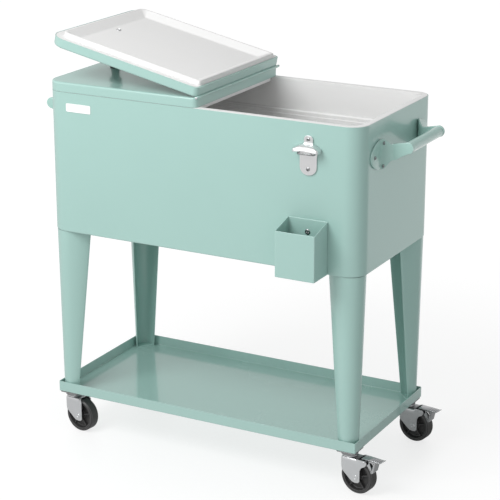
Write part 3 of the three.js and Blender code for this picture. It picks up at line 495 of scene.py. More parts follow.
def pipe(inner, outer, start, end, edge, segments=32):
    """A ring of rectangular section with rounded edges, round the Z axis."""
    corners = [[inner, start], [outer, start], [outer, end], [inner, end]]
    return turned_ring(fillet(corners, edge, 3, edge), segments)


def plate(outline, thickness, edge, steps=3):
    """An outline in X and Y, thick along Z from zero, with quarter-circle edges.

    Each level is the outline moved in along the mean of its two side normals.
    """
    p = without_repeats(np.asarray(outline, float))
    area = (p[:, 0] * np.roll(p[:, 1], -1) - np.roll(p[:, 0], -1) * p[:, 1]).sum()
    p = p if area > 0 else p[::-1]
    side = np.roll(p, -1, 0) - p
    side = side / np.linalg.norm(side, axis=1)[:, None]
    normal = np.stack([side[:, 1], -side[:, 0]], -1)
    before = np.roll(normal, 1, 0)
    mean = (normal + before) / (1 + (normal * before).sum(1))[:, None].clip(HALF)
    hold = edge * 2
    levels = fillet(
        [[hold, 0], [0, 0], [0, thickness], [hold, thickness]], [0, edge, edge, 0], steps,
        closed=False,
    )
    rings = p[None] - mean[None] * levels[:, 0, None, None]
    return capped(rings, levels[:, 1])


def ribbon(path, half_width, thickness, edge, middle=0.0, steps=3):
    """A rounded rectangle carried along a path in the first two axes.

    Its thickness lies along the path's normal and its width along the third axis.
    """
    path = np.asarray(path, float)
    count = len(path)
    half_width = np.broadcast_to(half_width, count)
    thickness = np.broadcast_to(thickness, count)
    middle = np.broadcast_to(middle, count)
    step = np.gradient(path, axis=0)
    step = step / np.linalg.norm(step, axis=1)[:, None]
    normal = np.stack([-step[:, 1], step[:, 0]], -1)
    t = thickness * HALF
    radius = np.minimum(np.minimum(t, half_width) * 0.95, edge)
    section = ring_points(-half_width, half_width, -t, t, radius[:, None], steps, 0.0)
    flat = path[:, None, :] + normal[:, None, :] * section[..., 1:2]
    width = section[..., 0:1] + middle[:, None, None]
    return surface(np.concatenate([flat, width], -1), first=True, last=True)


def smooth_share(value, start, end):
    """Zero before start, one after end, and 3t^2 - 2t^3 between them."""
    t = np.clip((value - start) / (end - start), 0, 1)
    return t * t * (3 - 2 * t)


FINE_HEAD, PLAIN_HEAD = (14, 40), (6, 16)
CROSS_ARM_SHARE, CROSS_REACH_SHARE, CROSS_DEPTH_SHARE = 0.17, 0.6, 0.55
CROSS_END_SHARE = 0.85


def screw_head(radius, height, recess=True):
    """A domed head along Z from zero, with a cross sunk in it.

    The dome falls with the cube of the radius; the cross is where one of X and Y is small
    and the other is within the cross's reach.
    """
    rows, cols = FINE_HEAD if recess else PLAIN_HEAD
    share = np.linspace(0, 1, rows)[:, None]
    angle = np.linspace(0, 2 * math.pi, cols, endpoint=False)[None]
    x = radius * share * np.cos(angle)
    y = radius * share * np.sin(angle)
    z = height * (1 - HALF * share**3) * np.ones_like(x)
    if recess:
        arm, reach = radius * CROSS_ARM_SHARE, radius * CROSS_REACH_SHARE
        narrow = 1 - smooth_share(np.minimum(abs(x), abs(y)), arm * HALF, arm)
        short = 1 - smooth_share(np.maximum(abs(x), abs(y)), reach * CROSS_END_SHARE, reach)
        z = z - height * CROSS_DEPTH_SHARE * narrow * short
    top = np.stack([x, y, z], -1)
    skirt = top[-1:] * [1, 1, 0]
    middle = skirt * 0
    return surface(np.concatenate([top, skirt, middle]))


def read_array(items, key, size, kind=float):
    """One property of many mesh items as rows of numbers."""
    values = np.empty(len(items) * size, kind)
    items.foreach_get(key, values)
    return values.reshape(-1, size) if size > 1 else values


def bend_attribute(mesh):
    """How sharply the surface turns at each vertex, 0 on flats and 1 on tight edges.

    Across an edge, the angle between its two faces over their mean width is a curvature; a
    radius of 2 mm or less gives 1. A vertex takes the sharpest of its edges.
    """
    ends = read_array(mesh.edges, "vertices", 2, int)
    places = read_array(mesh.vertices, "co", 3)
    reach = np.linalg.norm(places[ends[:, 0]] - places[ends[:, 1]], axis=1)
    totals = read_array(mesh.polygons, "loop_total", 1, int)
    face = np.repeat(np.arange(len(totals)), totals)
    edge = read_array(mesh.loops, "edge_index", 1, int)
    normals = np.zeros((len(ends), 3))
    np.add.at(normals, edge, read_array(mesh.polygons, "normal", 3)[face])
    area = np.zeros(len(ends))
    np.add.at(area, edge, read_array(mesh.polygons, "area", 1)[face])
    angle = 2 * np.arccos(np.clip(np.linalg.norm(normals, axis=1) * HALF, 0, 1))
    width = area / np.maximum(reach, MERGE) * HALF
    sharpness = np.clip(angle / np.maximum(width, MERGE) * 2 * MM, 0, 1)
    bend = np.zeros(len(places))
    np.maximum.at(bend, ends, sharpness[:, None])
    mesh.attributes.new("bend", "FLOAT", "POINT").data.foreach_set("value", bend)


def merged_mesh(name, parts):
    """One mesh of several closed parts, without doubles and with its faces outwards."""
    places, faces, offset = [], [], 0
    for points, part_faces in parts:
        places.append(points)
        faces.extend([[corner + offset for corner in f] for f in part_faces])
        offset += len(points)
    mesh = bpy.data.meshes.new(name)
    mesh.from_pydata(np.concatenate(places).tolist(), [], faces)
    whole = bmesh.new()
    whole.from_mesh(mesh)
    bmesh.ops.remove_doubles(whole, verts=whole.verts, dist=MERGE)
    bmesh.ops.recalc_face_normals(whole, faces=whole.faces)
    whole.to_mesh(mesh)
    whole.free()
    return mesh


def shown(name, mesh, look):
    """A mesh with a named finish as an object of the scene."""
    mesh.materials.append(finish(look))
    made = bpy.data.objects.new(name, mesh)
    bpy.context.scene.collection.objects.link(made)
    return made


def piece(name, parts, look, body, *nodes, slot=None):
    """One object of several closed parts with a named finish, riding on a body.

    It stands for the CAD nodes, which it hides, and works out a slot that it does not use.
    """
    mesh = merged_mesh(name, parts)
    bend_attribute(mesh)
    mesh.shade_smooth()
    mesh.set_sharp_from_angle(angle=SHARP)
    made = shown(name, mesh, look)
    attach(made, body)
    if nodes:
        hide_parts(*nodes)
    slot = slot or SLOTS[look]
    return made


def walled(made, thickness, edge):
    """Gives an open sheet its thickness, inwards, and rounds the edges."""
    wall = made.modifiers.new("wall", "SOLIDIFY")
    wall.thickness = thickness
    wall.offset = -1.0
    wall.use_quality_normals = True
    rounding = made.modifiers.new("rounding", "BEVEL")
    rounding.width = edge
    rounding.segments = 2
    rounding.limit_method = "ANGLE"
    rounding.angle_limit = EDGE_ANGLE
    rounding.harden_normals = False


def fill(tree, node, values):
    """Gives a node's inputs their values: a socket is linked, anything else is set."""
    for label, value in values.items():
        if isinstance(value, bpy.types.NodeSocket):
            tree.links.new(value, node.inputs[label])
        else:
            node.inputs[label].default_value = value
    return node


def new_node(tree, kind, values=None, **settings):
    """A shader node with its settings, and values for its inputs by name or number."""
    node = tree.nodes.new(f"ShaderNode{kind}")
    for key, value in settings.items():
        setattr(node, key, value)
    return fill(tree, node, values or {})


def new_group(name, inputs, outputs=("Colour", "Roughness", "Height")):
    """An empty shader group, the sockets of its inputs and the node of its outputs.

    A default of four numbers makes a colour socket; of the outputs, Colour alone is one.
    """
    group = bpy.data.node_groups.new(name, "ShaderNodeTree")
    for label, default in inputs.items():
        kind = "NodeSocketColor" if isinstance(default, tuple) else "NodeSocketFloat"
        socket = group.interface.new_socket(label, in_out="INPUT", socket_type=kind)
        socket.default_value = default
    for label in outputs:
        kind = "NodeSocketColor" if label == "Colour" else "NodeSocketFloat"
        group.interface.new_socket(label, in_out="OUTPUT", socket_type=kind)
    given = group.nodes.new("NodeGroupInput").outputs
    return group, given, group.nodes.new("NodeGroupOutput")


def math_node(tree, operation, first, second=HALF, clamp=False):
    """A math node; an input is a socket or a number."""
    node = new_node(tree, "Math", {0: first, 1: second}, operation=operation, use_clamp=clamp)
    return node.outputs[0]


def times(tree, first, second, clamp=False):
    """A product."""
    return math_node(tree, "MULTIPLY", first, second, clamp)


def plus(tree, first, second, clamp=False):
    """A sum."""
    return math_node(tree, "ADD", first, second, clamp)


def minus(tree, first, second, clamp=False):
    """A difference."""
    return math_node(tree, "SUBTRACT", first, second, clamp)


def noise(tree, vector, scale, detail=2.0, roughness=0.5):
    """The value of a noise."""
    values = {"Vector": vector, "Scale": scale, "Detail": detail, "Roughness": roughness}
    return new_node(tree, "TexNoise", values).outputs["Fac"]


def mixed(tree, factor, first, second):
    """Two colours mixed by a factor; the numbers are those of a colour mix's sockets."""
    values = {0: factor, 6: first, 7: second}
    return new_node(tree, "Mix", values, data_type="RGBA").outputs[2]


def object_vector(tree):
    """Places in the object's own coordinates."""
    return new_node(tree, "TexCoord").outputs["Object"]


def bend_mask(tree):
    """The mesh's bend attribute as a mask of its edges."""
    return new_node(tree, "Attribute", attribute_name="bend").outputs["Fac"]


def tone_group(name):
    """Large soft tone changes, an edge colour over tight bends and fine grain for one colour; the
    edge colour is partly a painted highlight on the mint and painted shade on the white moulding.
    """
    tree, given, made = new_group(name, {
        "Colour": WHITE, "Edge Colour": WHITE, "Edge": 0.5, "Variation": 0.03,
        "Tone Scale": 5.0, "Grain Scale": 900.0, "Rough": 0.35, "Rough Variation": 0.06,
    })
    place = object_vector(tree)
    tone = noise(tree, place, given["Tone Scale"], 3.0, 0.55)
    grain = noise(tree, place, given["Grain Scale"])
    speck = times(tree, minus(tree, grain, HALF), 0.35)
    both = plus(tree, minus(tree, tone, HALF), speck)
    value = plus(tree, times(tree, times(tree, both, given["Variation"]), 2.0), 1.0)
    # Edge colour on tight bends: partly painted highlight on the mint, painted shade on the white
    # moulding
    edge = times(tree, bend_mask(tree), given["Edge"], clamp=True)
    uneven = times(tree, edge, plus(tree, tone, 0.4), clamp=True)
    colour = mixed(tree, uneven, given["Colour"], given["Edge Colour"])
    shade = new_node(tree, "HueSaturation", {"Value": value, "Color": colour})
    swing = times(tree, times(tree, both, given["Rough Variation"]), 2.0)
    rough = plus(tree, swing, given["Rough"])
    fill(tree, made, {"Colour": shade.outputs["Color"], "Roughness": rough, "Height": grain})
    return tree


STREAK_SCALE = (900.0, 900.0, 60.0)


def streak_group(name):
    """Fine streaks along one axis and cloudy spangle, for plated and polished metal."""
    tree, given, made = new_group(name, {
        "Colour": WHITE, "Dark": (0.4, 0.4, 0.42, 1), "Streaks": 0.3, "Rough": 0.25,
        "Rough Variation": 0.1,
    })
    place = object_vector(tree)
    drawn = new_node(tree, "Mapping", {"Vector": place, "Scale": STREAK_SCALE})
    streak = noise(tree, drawn.outputs["Vector"], 1.0)
    cloud, dirt = noise(tree, place, 30.0), noise(tree, place, 160.0, 3.0, 0.6)
    worn = times(tree, bend_mask(tree), 0.25)
    patch = times(tree, minus(tree, cloud, 0.45), 0.2)
    amount = times(tree, streak, given["Streaks"])
    shade = plus(tree, amount, minus(tree, patch, worn), clamp=True)
    colour = mixed(tree, shade, given["Colour"], given["Dark"])
    swing = minus(tree, plus(tree, cloud, dirt), 1.0)
    rough = plus(tree, times(tree, swing, given["Rough Variation"]), given["Rough"], clamp=True)
    height = plus(tree, streak, dirt)
    fill(tree, made, {"Colour": colour, "Roughness": rough, "Height": height})
    return tree


CELL_SHADE = (0.55, 0.47, 0.3, 1)


def cell_group(name):
    """Small closed cells, for cut foam."""
    tree, given, made = new_group(name, {"Colour": WHITE, "Scale": 500.0}, ("Colour", "Height"))
    values = {"Vector": object_vector(tree), "Scale": given["Scale"]}
    distance = new_node(tree, "TexVoronoi", values).outputs["Distance"]
    colour = mixed(tree, distance, given["Colour"], CELL_SHADE)
    fill(tree, made, {"Colour": colour, "Height": distance})
    return tree


def dust_group(name):
    """Pale dust in specks, more of it in cloudy patches."""
    values = {"Colour": (0, 0, 0, 1), "Dust": (0.3, 0.29, 0.27, 1), "Amount": 0.3}
    tree, given, made = new_group(name, values, ("Colour",))
    place = object_vector(tree)
    speck, cloud = noise(tree, place, 220.0, 4.0, 0.7), noise(tree, place, 35.0)
    mask = times(tree, speck, times(tree, cloud, 2.0))
    amount = times(tree, mask, given["Amount"], clamp=True)
    fill(tree, made, {"Colour": mixed(tree, amount, given["Colour"], given["Dust"])})
    return tree


GROUPS = {
    "tone_and_edge": tone_group,
    "metal_streaks": streak_group,
    "foam_cells": cell_group,
    "floor_dust": dust_group,
}


def effect(tree, name, values):
    """A shared node group, made once, in a material with this material's values."""
    group = bpy.data.node_groups.get(name) or GROUPS[name](name)
    return new_node(tree, "Group", values, node_tree=group)


def solid(colour):
    """A colour property as four numbers."""
    return (*colour, 1.0)


PLASTIC_IOR = 1.5


def new_finish(name, roughness, metallic=0.0, coat=0.0, coat_roughness=0.1):
    """A material, its tree and its shader, which holds the uniform values."""
    made = bpy.data.materials.new(name)
    made.use_nodes = True
    tree = made.node_tree
    shader = fill(tree, tree.nodes["Principled BSDF"], {
        "Roughness": roughness, "Metallic": metallic, "Coat Weight": coat,
        "Coat Roughness": coat_roughness, "IOR": PLASTIC_IOR,
    })
    return made, tree, shader


def dress(tree, shader, node, strength, distance):
    """Links a group's colour, its roughness if it has one, and its height as fine relief."""
    relief = {"Height": node.outputs["Height"], "Strength": strength, "Distance": distance}
    bump = new_node(tree, "Bump", relief)
    links = {"Base Color": node.outputs["Colour"], "Normal": bump.outputs["Normal"]}
    if "Roughness" in node.outputs:
        links["Roughness"] = node.outputs["Roughness"]
    fill(tree, shader, links)


# Painted and moulded finishes: colour, edge colour, how much the edge shows, variation, scale
# of the tones and of the grain, roughness and its variation, strength and depth of the relief
# in millimetres, clear coat and its roughness
TONED_FINISHES = {
    # On the mint finishes the lighter edge colour is partly a painted highlight along the edges
    "mint_coat": ("mint", "mint_edge_paint_and_highlight", 0.3, 0.03, 4.0, 700.0, 0.32, 0.08, 0.06, 0.3, 0.5, 0.06),
    "shelf_coat": ("mint", "mint_edge_paint_and_highlight", 0.3, 0.03, 4.0, 700.0, 0.26, 0.08, 0.04, 0.3, 1.0, 0.04),
    "handle_coat": (
        "handle", "mint_edge_paint_and_highlight", 0.5, 0.04, 12.0, 900.0, 0.26, 0.08, 0.08, 0.3, 0.8, 0.05,
    ),
    # The white's darker edge colour is painted shade on the moulding's rims and edges
    "white_gloss": (
        "white", (0.64, 0.64, 0.635), 0.8, 0.02, 7.0, 1300.0, 0.6, 0.08, 0.05, 0.2, 0.0, 0.1,
    ),
    "black_gloss": (
        "black", (0.07, 0.07, 0.075), 0.4, 0.2, 60.0, 1500.0, 0.35, 0.12, 0.15, 0.2, 0.0, 0.1,
    ),
    "label_white": (
        "label", (0.93, 0.93, 0.92), 0.6, 0.03, 40.0, 1500.0, 0.3, 0.08, 0.05, 0.2, 0.4, 0.1,
    ),
    "wheel_plastic": (
        "tread", (0.09, 0.09, 0.095), 0.5, 0.25, 50.0, 1100.0, 0.48, 0.15, 0.2, 0.3, 0.0, 0.1,
    ),
}
DUST_AMOUNTS = {"wheel_plastic": 0.12}


def toned_finish(f, name):
    """A painted or moulded finish from its row of the table."""
    (colour, edge, edge_amount, variation, tone, grain, rough, swing, strength, depth, coat,
     coat_rough) = TONED_FINISHES[name]
    made, tree, shader = new_finish(name, rough, coat=coat, coat_roughness=coat_rough)
    # The edge colour and its amount carry painted highlight on the mint and painted shade on the
    # white
    edge = getattr(f, edge) if isinstance(edge, str) else edge
    node = effect(tree, "tone_and_edge", {
        "Colour": solid(getattr(f, colour)), "Edge Colour": solid(edge), "Edge": edge_amount,
        "Variation": variation, "Tone Scale": tone, "Grain Scale": grain, "Rough": rough,
        "Rough Variation": swing,
    })
    dress(tree, shader, node, strength, depth * MM)
    if name in DUST_AMOUNTS:
        values = {"Amount": DUST_AMOUNTS[name], "Colour": node.outputs["Colour"]}
        dust = effect(tree, "floor_dust", values)
        fill(tree, shader, {"Base Color": dust.outputs["Colour"]})
    return made


# Plated and polished finishes: colour, dark of the streaks, how much they show, roughness and
# its variation, strength of the relief
METAL_FINISHES = {
    "zinc_plate": ("zinc", (0.42, 0.43, 0.45), 0.12, 0.29, 0.06, 0.03),
    "polished_steel": ("steel", (0.5, 0.51, 0.52), 0.08, 0.42, 0.04, 0.02),
    "satin_steel": ("satin", (0.5, 0.5, 0.51), 0.12, 0.3, 0.06, 0.04),
    # The pedal's darker colour is painted shade for the dark shelf underside that it mirrors
    "pedal_plate": ("pedal", (0.3, 0.31, 0.32), 0.15, 0.14, 0.06, 0.03),
    # Dark steel of the screws, and painted shade on the caster plates and the opener's tongue
    "dark_steel_and_painted_shade": ("screw", (0.12, 0.12, 0.125), 0.3, 0.25, 0.1, 0.05),
}
METAL_RELIEF = 0.2 * MM


def metal_finish(f, name):
    """A plated or polished finish from its row of the table."""
    colour, dark, streaks, rough, swing, strength = METAL_FINISHES[name]
    made, tree, shader = new_finish(name, rough, metallic=1.0)
    node = effect(tree, "metal_streaks", {
        "Colour": solid(getattr(f, colour)), "Dark": solid(dark), "Streaks": streaks,
        "Rough": rough, "Rough Variation": swing,
    })
    dress(tree, shader, node, strength, METAL_RELIEF)
    return made


def insulation_foam(f):
    """Rigid foam with small cells."""
    made, tree, shader = new_finish("insulation_foam", roughness=0.85)
    node = effect(tree, "foam_cells", {"Colour": solid(f.foam)})
    dress(tree, shader, node, 0.5, 0.6 * MM)
    return made


# Where the floor's bounce changes round the object: start and end angle, and the change
FLOOR_CARDS = ((-25.0, -8.0, -0.28), (36.0, 56.0, 0.6), (110.0, 140.0, -0.3))
FLOOR_LIFT, MOST_FLOOR_LIFT = 0.06, 0.11
FLOOR_SHADE, FLOOR_SHADE_SCALE, FLOOR_SHADE_AMOUNT = (0.3, 0.3, 0.3, 1), 1.2, 0.04


def studio_floor(f):
    """Pale floor that glows a little, so that its shadows stay light.

    What the camera sees of the glow rises with the distance from the middle, up to a limit;
    what lights the object changes round it, as with cards laid on the floor.
    """
    made, tree, shader = new_finish("studio_floor", roughness=0.5)
    seen = new_node(tree, "LightPath").outputs["Is Camera Ray"]
    place = object_vector(tree)
    away = new_node(tree, "VectorMath", {0: place}, operation="LENGTH").outputs["Value"]
    lift = math_node(tree, "MINIMUM", times(tree, away, FLOOR_LIFT), MOST_FLOOR_LIFT)
    lit = plus(tree, lift, f.glow - f.bounce)
    x, y, _ = new_node(tree, "SeparateXYZ", {0: place}).outputs
    around = math_node(tree, "ARCTAN2", y, x)
    cards = 0.0
    for start, end, change in FLOOR_CARDS:
        edge = new_node(tree, "MapRange", {
            "Value": around, "From Min": math.radians(start), "From Max": math.radians(end),
            "To Max": change,
        }, interpolation_type="SMOOTHSTEP")
        cards = plus(tree, edge.outputs["Result"], cards)
    hidden = times(tree, minus(tree, 1.0, seen), cards)
    glow = plus(tree, plus(tree, times(tree, seen, lit), hidden), f.bounce)
    tone = times(tree, noise(tree, place, FLOOR_SHADE_SCALE), FLOOR_SHADE_AMOUNT)
    fill(tree, shader, {
        "Emission Strength": glow, "Emission Color": WHITE, "Specular IOR Level": 0.3,
        "Base Color": mixed(tree, tone, solid(f.floor), FLOOR_SHADE),
    })
    return made


SLOTS = {
    "mint_coat": "mint_paint", "shelf_coat": "mint_paint", "handle_coat": "handle_paint",
    "white_gloss": "white_moulding", "black_gloss": "black_plastic",
    "label_white": "plate_white", "zinc_plate": "zinc_steel", "dark_steel_and_painted_shade": "zinc_steel",
    "pedal_plate": "zinc_steel", "polished_steel": "opener_steel",
    "satin_steel": "opener_steel", "wheel_plastic": "wheel_tread",
}


def finish(name):
    """The named finish, made the first time that it is asked for."""
    made, f = bpy.data.materials.get(name), bpy.context.scene.cooler_finishes
    if made:
        return made
    if name in TONED_FINISHES:
        return toned_finish(f, name)
    if name in METAL_FINISHES:
        return metal_finish(f, name)
    return insulation_foam(f) if name == "insulation_foam" else studio_floor(f)


CORNER_STEPS = 14
CORNER_HOLD = 5 * MM
BEND_STEPS = 5
BEND_HOLD = 0.7 * MM
FLAT_REACH = 16 * MM
LEAST_CORNER = 3 * MM


def tub_rings(profile, corner):
    """Height and inset pairs carried round the tub's rounded rectangle."""
    radius = np.maximum(corner - profile[:, 1], LEAST_CORNER)[:, None]
    return outline_rings(profile, TUB_HALF_X - profile[:, 1], radius)


def outline_rings(profile, right, radii):
    """Height and inset pairs carried round a rounded rectangle with its own right end."""
    inset = profile[:, 1]
    rings = ring_points(
        inset - TUB_HALF_X, right, inset - TUB_HALF_Y, TUB_HALF_Y - inset, radii, CORNER_STEPS,
        CORNER_HOLD,
    )
    return placed(capped(rings, profile[:, 0]), y=TUB_Y)


def folded_sheet(bottom, top, sheet, radii):
    """Profile of a tray: out along the bottom, up the wall, over its edge and back inside."""
    corners = [
        [bottom, FLAT_REACH], [bottom, 0], [top, 0], [top, sheet], [bottom + sheet, sheet],
        [bottom + sheet, FLAT_REACH],
    ]
    return bent(corners, radii)


def bent(corners, radii):
    """An open profile of pressed or moulded sheet, with its bends rounded."""
    return fillet(corners, radii, BEND_STEPS, BEND_HOLD, closed=False)


SHELL_EDGE_SHARES = 0.6, 0.25


def tub_shell(t):
    """Folded sheet carried round the tub."""
    s = t.sheet
    radii = [0, t.bottom_bend, *(s * share for share in SHELL_EDGE_SHARES), t.bottom_bend - s, 0]
    return tub_rings(folded_sheet(SHELL_LOW[2], t.edge, s, radii), t.corner)


# Radii of the liner's bends as shares of its wall, from under the ledge down to the step's foot
LINER_BEND_SHARES = (1 / 3, 1, 1, 1 / 6, 0.85, 1, 0.8, 0.6, 1 / 4, 1 / 4)


def tub_liner(t):
    """Moulded tub: under the floor, up the outside, over the flange and down the inside."""
    w = t.wall
    upper, lower = t.upper - w, t.lower - w
    under = t.ledge - t.ledge_fall - w
    flat = t.lower + FLAT_REACH + t.floor_bend
    corners = [
        [t.floor - w, flat], [t.floor - w, lower], [under, lower], [under, upper],
        [RIM - t.flange, upper], [RIM - t.flange, t.flange_inset], [RIM, t.flange_inset],
        [RIM, t.upper], [t.ledge, t.upper], [t.ledge - t.ledge_fall, t.step],
        [t.step_height, t.step], [t.step_height - MM, t.lower], [t.floor, t.lower],
        [t.floor, flat],
    ]
    b = t.floor_bend
    radii = [0, b + w, *(w * share for share in LINER_BEND_SHARES), b, 0]
    return tub_rings(bent(corners, radii), t.corner)


HEXAGON_HALF = math.pi / 6
NUT_SEGMENTS = 72
NUT_FACE_SHARE = 1.3
CAP_SEGMENTS, CAP_RIBS, CAP_RIB_SHARE = 132, 22, 0.03
CAP_WALL_SHARE, CAP_ROUND = 0.97, 1.5 * MM


def drain_parts(d, t):
    """Spout with its inner flange, six-sided nut and ribbed cap, made along X from the middle."""
    outside, inner = -TUB_HALF_X, t.lower - TUB_HALF_X
    edge = 0.5 * MM
    tube = along_x(pipe(d.bore, d.tube, -d.end, inner, edge))
    flange = along_x(pipe(d.bore, d.flange, inner, inner + d.flange_depth, edge * 2))

    def six_sides(angle, profile):
        """Distance from the centre to a hexagon's side, relative to its corner."""
        sector = (angle + HEXAGON_HALF) % (2 * HEXAGON_HALF) - HEXAGON_HALF
        hexagon = math.cos(HEXAGON_HALF) / np.cos(sector)
        return np.where(profile[:, :1] > d.tube * NUT_FACE_SHARE, hexagon, 1.0)

    nut_profile = fillet(
        [[d.tube, outside - d.nut_depth], [d.nut, outside - d.nut_depth], [d.nut, outside],
         [d.tube, outside]], [0, edge * 2, edge, 0], 3, edge,
    )
    nut = along_x(turned_ring(nut_profile, NUT_SEGMENTS, six_sides))

    def ribs(angle, profile):
        """Round ribs on the outer wall only."""
        outer = profile[:, :1] > d.cap * CAP_WALL_SHARE
        groove = 1 - abs(np.cos(angle * CAP_RIBS * HALF))
        return 1 - np.where(outer, CAP_RIB_SHARE * groove, 0)

    floor = d.cap_floor - d.cap_end
    cap_profile = fillet(
        [[0, -d.cap_end], [d.cap, -d.cap_end], [d.cap, -d.cap_start], [d.cap_bore, -d.cap_start],
         [d.cap_bore, floor], [0, floor]],
        [0, CAP_ROUND, edge, edge, edge, 0], 4, edge, closed=False,
    )
    cap = along_x(turned(cap_profile, CAP_SEGMENTS, ribs))
    at = Matrix.Translation((0, TUB_Y, d.height))
    return [all_moved(parts, at) for parts in ((tube, flange), (nut,), (cap,))]


def lid_rings(profile, hinge, least, lid, tub):
    """Height and inset pairs carried round the left lid, with an inset for the hinge end."""
    outer_radius = np.maximum(tub.corner - profile[:, 1], LEAST_CORNER)
    hinge_radius = np.maximum(lid.hinge_corner - least, LEAST_CORNER)
    radii = np.stack([hinge_radius, outer_radius, outer_radius, hinge_radius], -1)
    return outline_rings(profile, -lid.split - hinge, radii)


LID_EDGE_SHARES, HINGE_DRAW_SHARE = (0.25, 0.7), 0.7


def lid_shell(lid, tub):
    """Pressed lid: inner ceiling, inner wall, skirt edge, outer wall, rounded edge and top.

    At the hinge end the outer face is drawn in by part of the inset, and the inner face, which
    is the first half of the corners, stands behind the end wall.
    """
    skirt, s = RIM + lid.gap, lid.sheet
    corners = [
        [lid.top - s, FLAT_REACH], [lid.top - s, s], [skirt, s], [skirt, 0], [lid.top, 0],
        [lid.top, FLAT_REACH],
    ]
    radii = [0, lid.round - s, *(s * share for share in LID_EDGE_SHARES), lid.round, 0]
    profile = bent(corners, radii)
    inset = profile[:, 1]
    inner = np.arange(len(profile)) < len(profile) // 2
    hinge = np.where(inner, lid.end_wall + inset - s, inset * HINGE_DRAW_SHARE)
    return lid_rings(profile, hinge, inset, lid, tub)


SLOPE_BEND, RIM_BEND, BACK_BEND = 12 * MM, 3 * MM, 8 * MM


def lid_liner(lid, tub):
    """Moulded underside: recessed panel, slope, raised rim, flange in the skirt and back."""
    skirt = RIM + lid.gap
    low = skirt - lid.plug_depth
    panel = skirt + lid.panel
    t = lid.moulding
    lip = lid.sheet + lid.gap
    rim = lid.plug_inset + lid.plug_rim
    end = rim + lid.plug_slope
    corners = [
        [panel, end + FLAT_REACH], [panel, end], [low, rim], [low, lid.plug_inset],
        [skirt, lid.plug_inset], [skirt, lip], [skirt + t, lip],
        [skirt + t, lid.plug_inset + t], [low + t, lid.plug_inset + t],
        [low + t, rim - t * HALF], [panel + t, end], [panel + t, end + FLAT_REACH],
    ]
    radii = [0, SLOPE_BEND, RIM_BEND, RIM_BEND, t * HALF, *[t / 3] * 5, BACK_BEND, 0]
    profile = bent(corners, radii)
    nearer = lid.plug_hinge - lid.plug_inset
    hinge = np.maximum(profile[:, 1] + nearer, lid.end_wall + lid.gap)
    return lid_rings(profile, hinge, hinge, lid, tub)


KNOB_FOOT_EDGE = 3 * MM
KNOB_ROUNDS = (0, 1, 1, 4, 6, 3, 3, 2, 0)


def lid_knob(lid):
    """Turned knob: foot, waisted stem and rounded head with a shallow dish."""
    neck = lid.knob_height - lid.knob_depth
    foot = KNOB_FOOT_EDGE
    corners = [
        [0, lid.gap], [lid.knob_foot, lid.gap], [lid.knob_foot, foot],
        [lid.knob_stem, foot * 2], [lid.knob_stem - MM, neck - foot],
        [lid.knob_head, neck + foot * HALF], [lid.knob_head, lid.knob_height - foot * HALF],
        [lid.knob_flat, lid.knob_height], [0, lid.knob_height],
    ]
    part = turned_corners(corners, metres(KNOB_ROUNDS), 6, 56, BEND_HOLD)
    return placed(part, x=-lid.knob_reach, y=TUB_Y, z=lid.top)


WASHER, WASHER_HEIGHT, WASHER_SEAT_SHARE = 6.2 * MM, MM, 0.9
KNOB_SCREW, KNOB_SCREW_HEIGHT = 4.4 * MM, 2.2 * MM


def knob_screw(lid):
    """Head of the knob's screw under the lid's panel, on its washer, a little sunk in it."""
    washer = rod(WASHER, 0, WASHER_HEIGHT, GAP, 32)
    head = placed(screw_head(KNOB_SCREW, KNOB_SCREW_HEIGHT), z=WASHER_HEIGHT * WASHER_SEAT_SHARE)
    under = Matrix.Translation((-lid.knob_reach, TUB_Y, RIM + lid.gap + lid.panel))
    return all_moved((washer, head), under @ UPSIDE_DOWN)


KNUCKLES = 5
KNUCKLE_GAP = 0.6 * MM
STRAP, STRAP_LOW, STRAP_HIGH = 9 * MM, -1.8 * MM, -0.1 * MM


def knuckle_parts(lid, picks):
    """Rolled knuckles: a circle drawn out to a strap that lies on the lid, along the hinge.

    The outline is the circle from one tangent point round to the other, and the two strap
    corners; the tangent points lie acos(radius / distance) either side of the strap.
    """
    r = lid.knuckle
    lean = math.acos(r / STRAP)
    angle = np.linspace(math.pi - lean, lean - math.pi, 24)
    circle = np.stack([r * np.cos(angle), r * np.sin(angle)], -1)
    outline = np.concatenate([circle, [[-STRAP, STRAP_LOW], [-STRAP, STRAP_HIGH]]])
    pitch = 2 * lid.reach / KNUCKLES
    laid = swapped(plate(outline, pitch - KNUCKLE_GAP, GAP))
    start = TUB_Y - lid.reach + KNUCKLE_GAP * HALF
    return [placed(laid, y=start + index * pitch, z=lid.hinge_height) for index in picks]


def hinge_rod(lid):
    """Rod with a domed head at each end."""
    near = TUB_HALF_Y + lid.overhang - lid.head_height
    head = screw_head(lid.head, lid.head_height, recess=False)
    at = {"y": TUB_Y, "z": lid.hinge_height}
    return [placed(along_y(part), **at) for part in headed_rod(lid.rod, near, head)]


def folded(lid, part):
    """A left lid part as its right twin: mirrored, then turned over about the hinge line."""
    up = Matrix.Translation((0, 0, lid.hinge_height))
    turned_over = Matrix.Rotation(lid.tilt - math.pi, 4, "Y")
    return moved(mirrored(part, -1, 1), up @ turned_over @ up.inverted())


LEG_ROWS, LEG_CURL_STEPS, LEG_BEND_STEPS = 24, 10, 24
LEG_PLATE_EDGE = 0.4 * MM


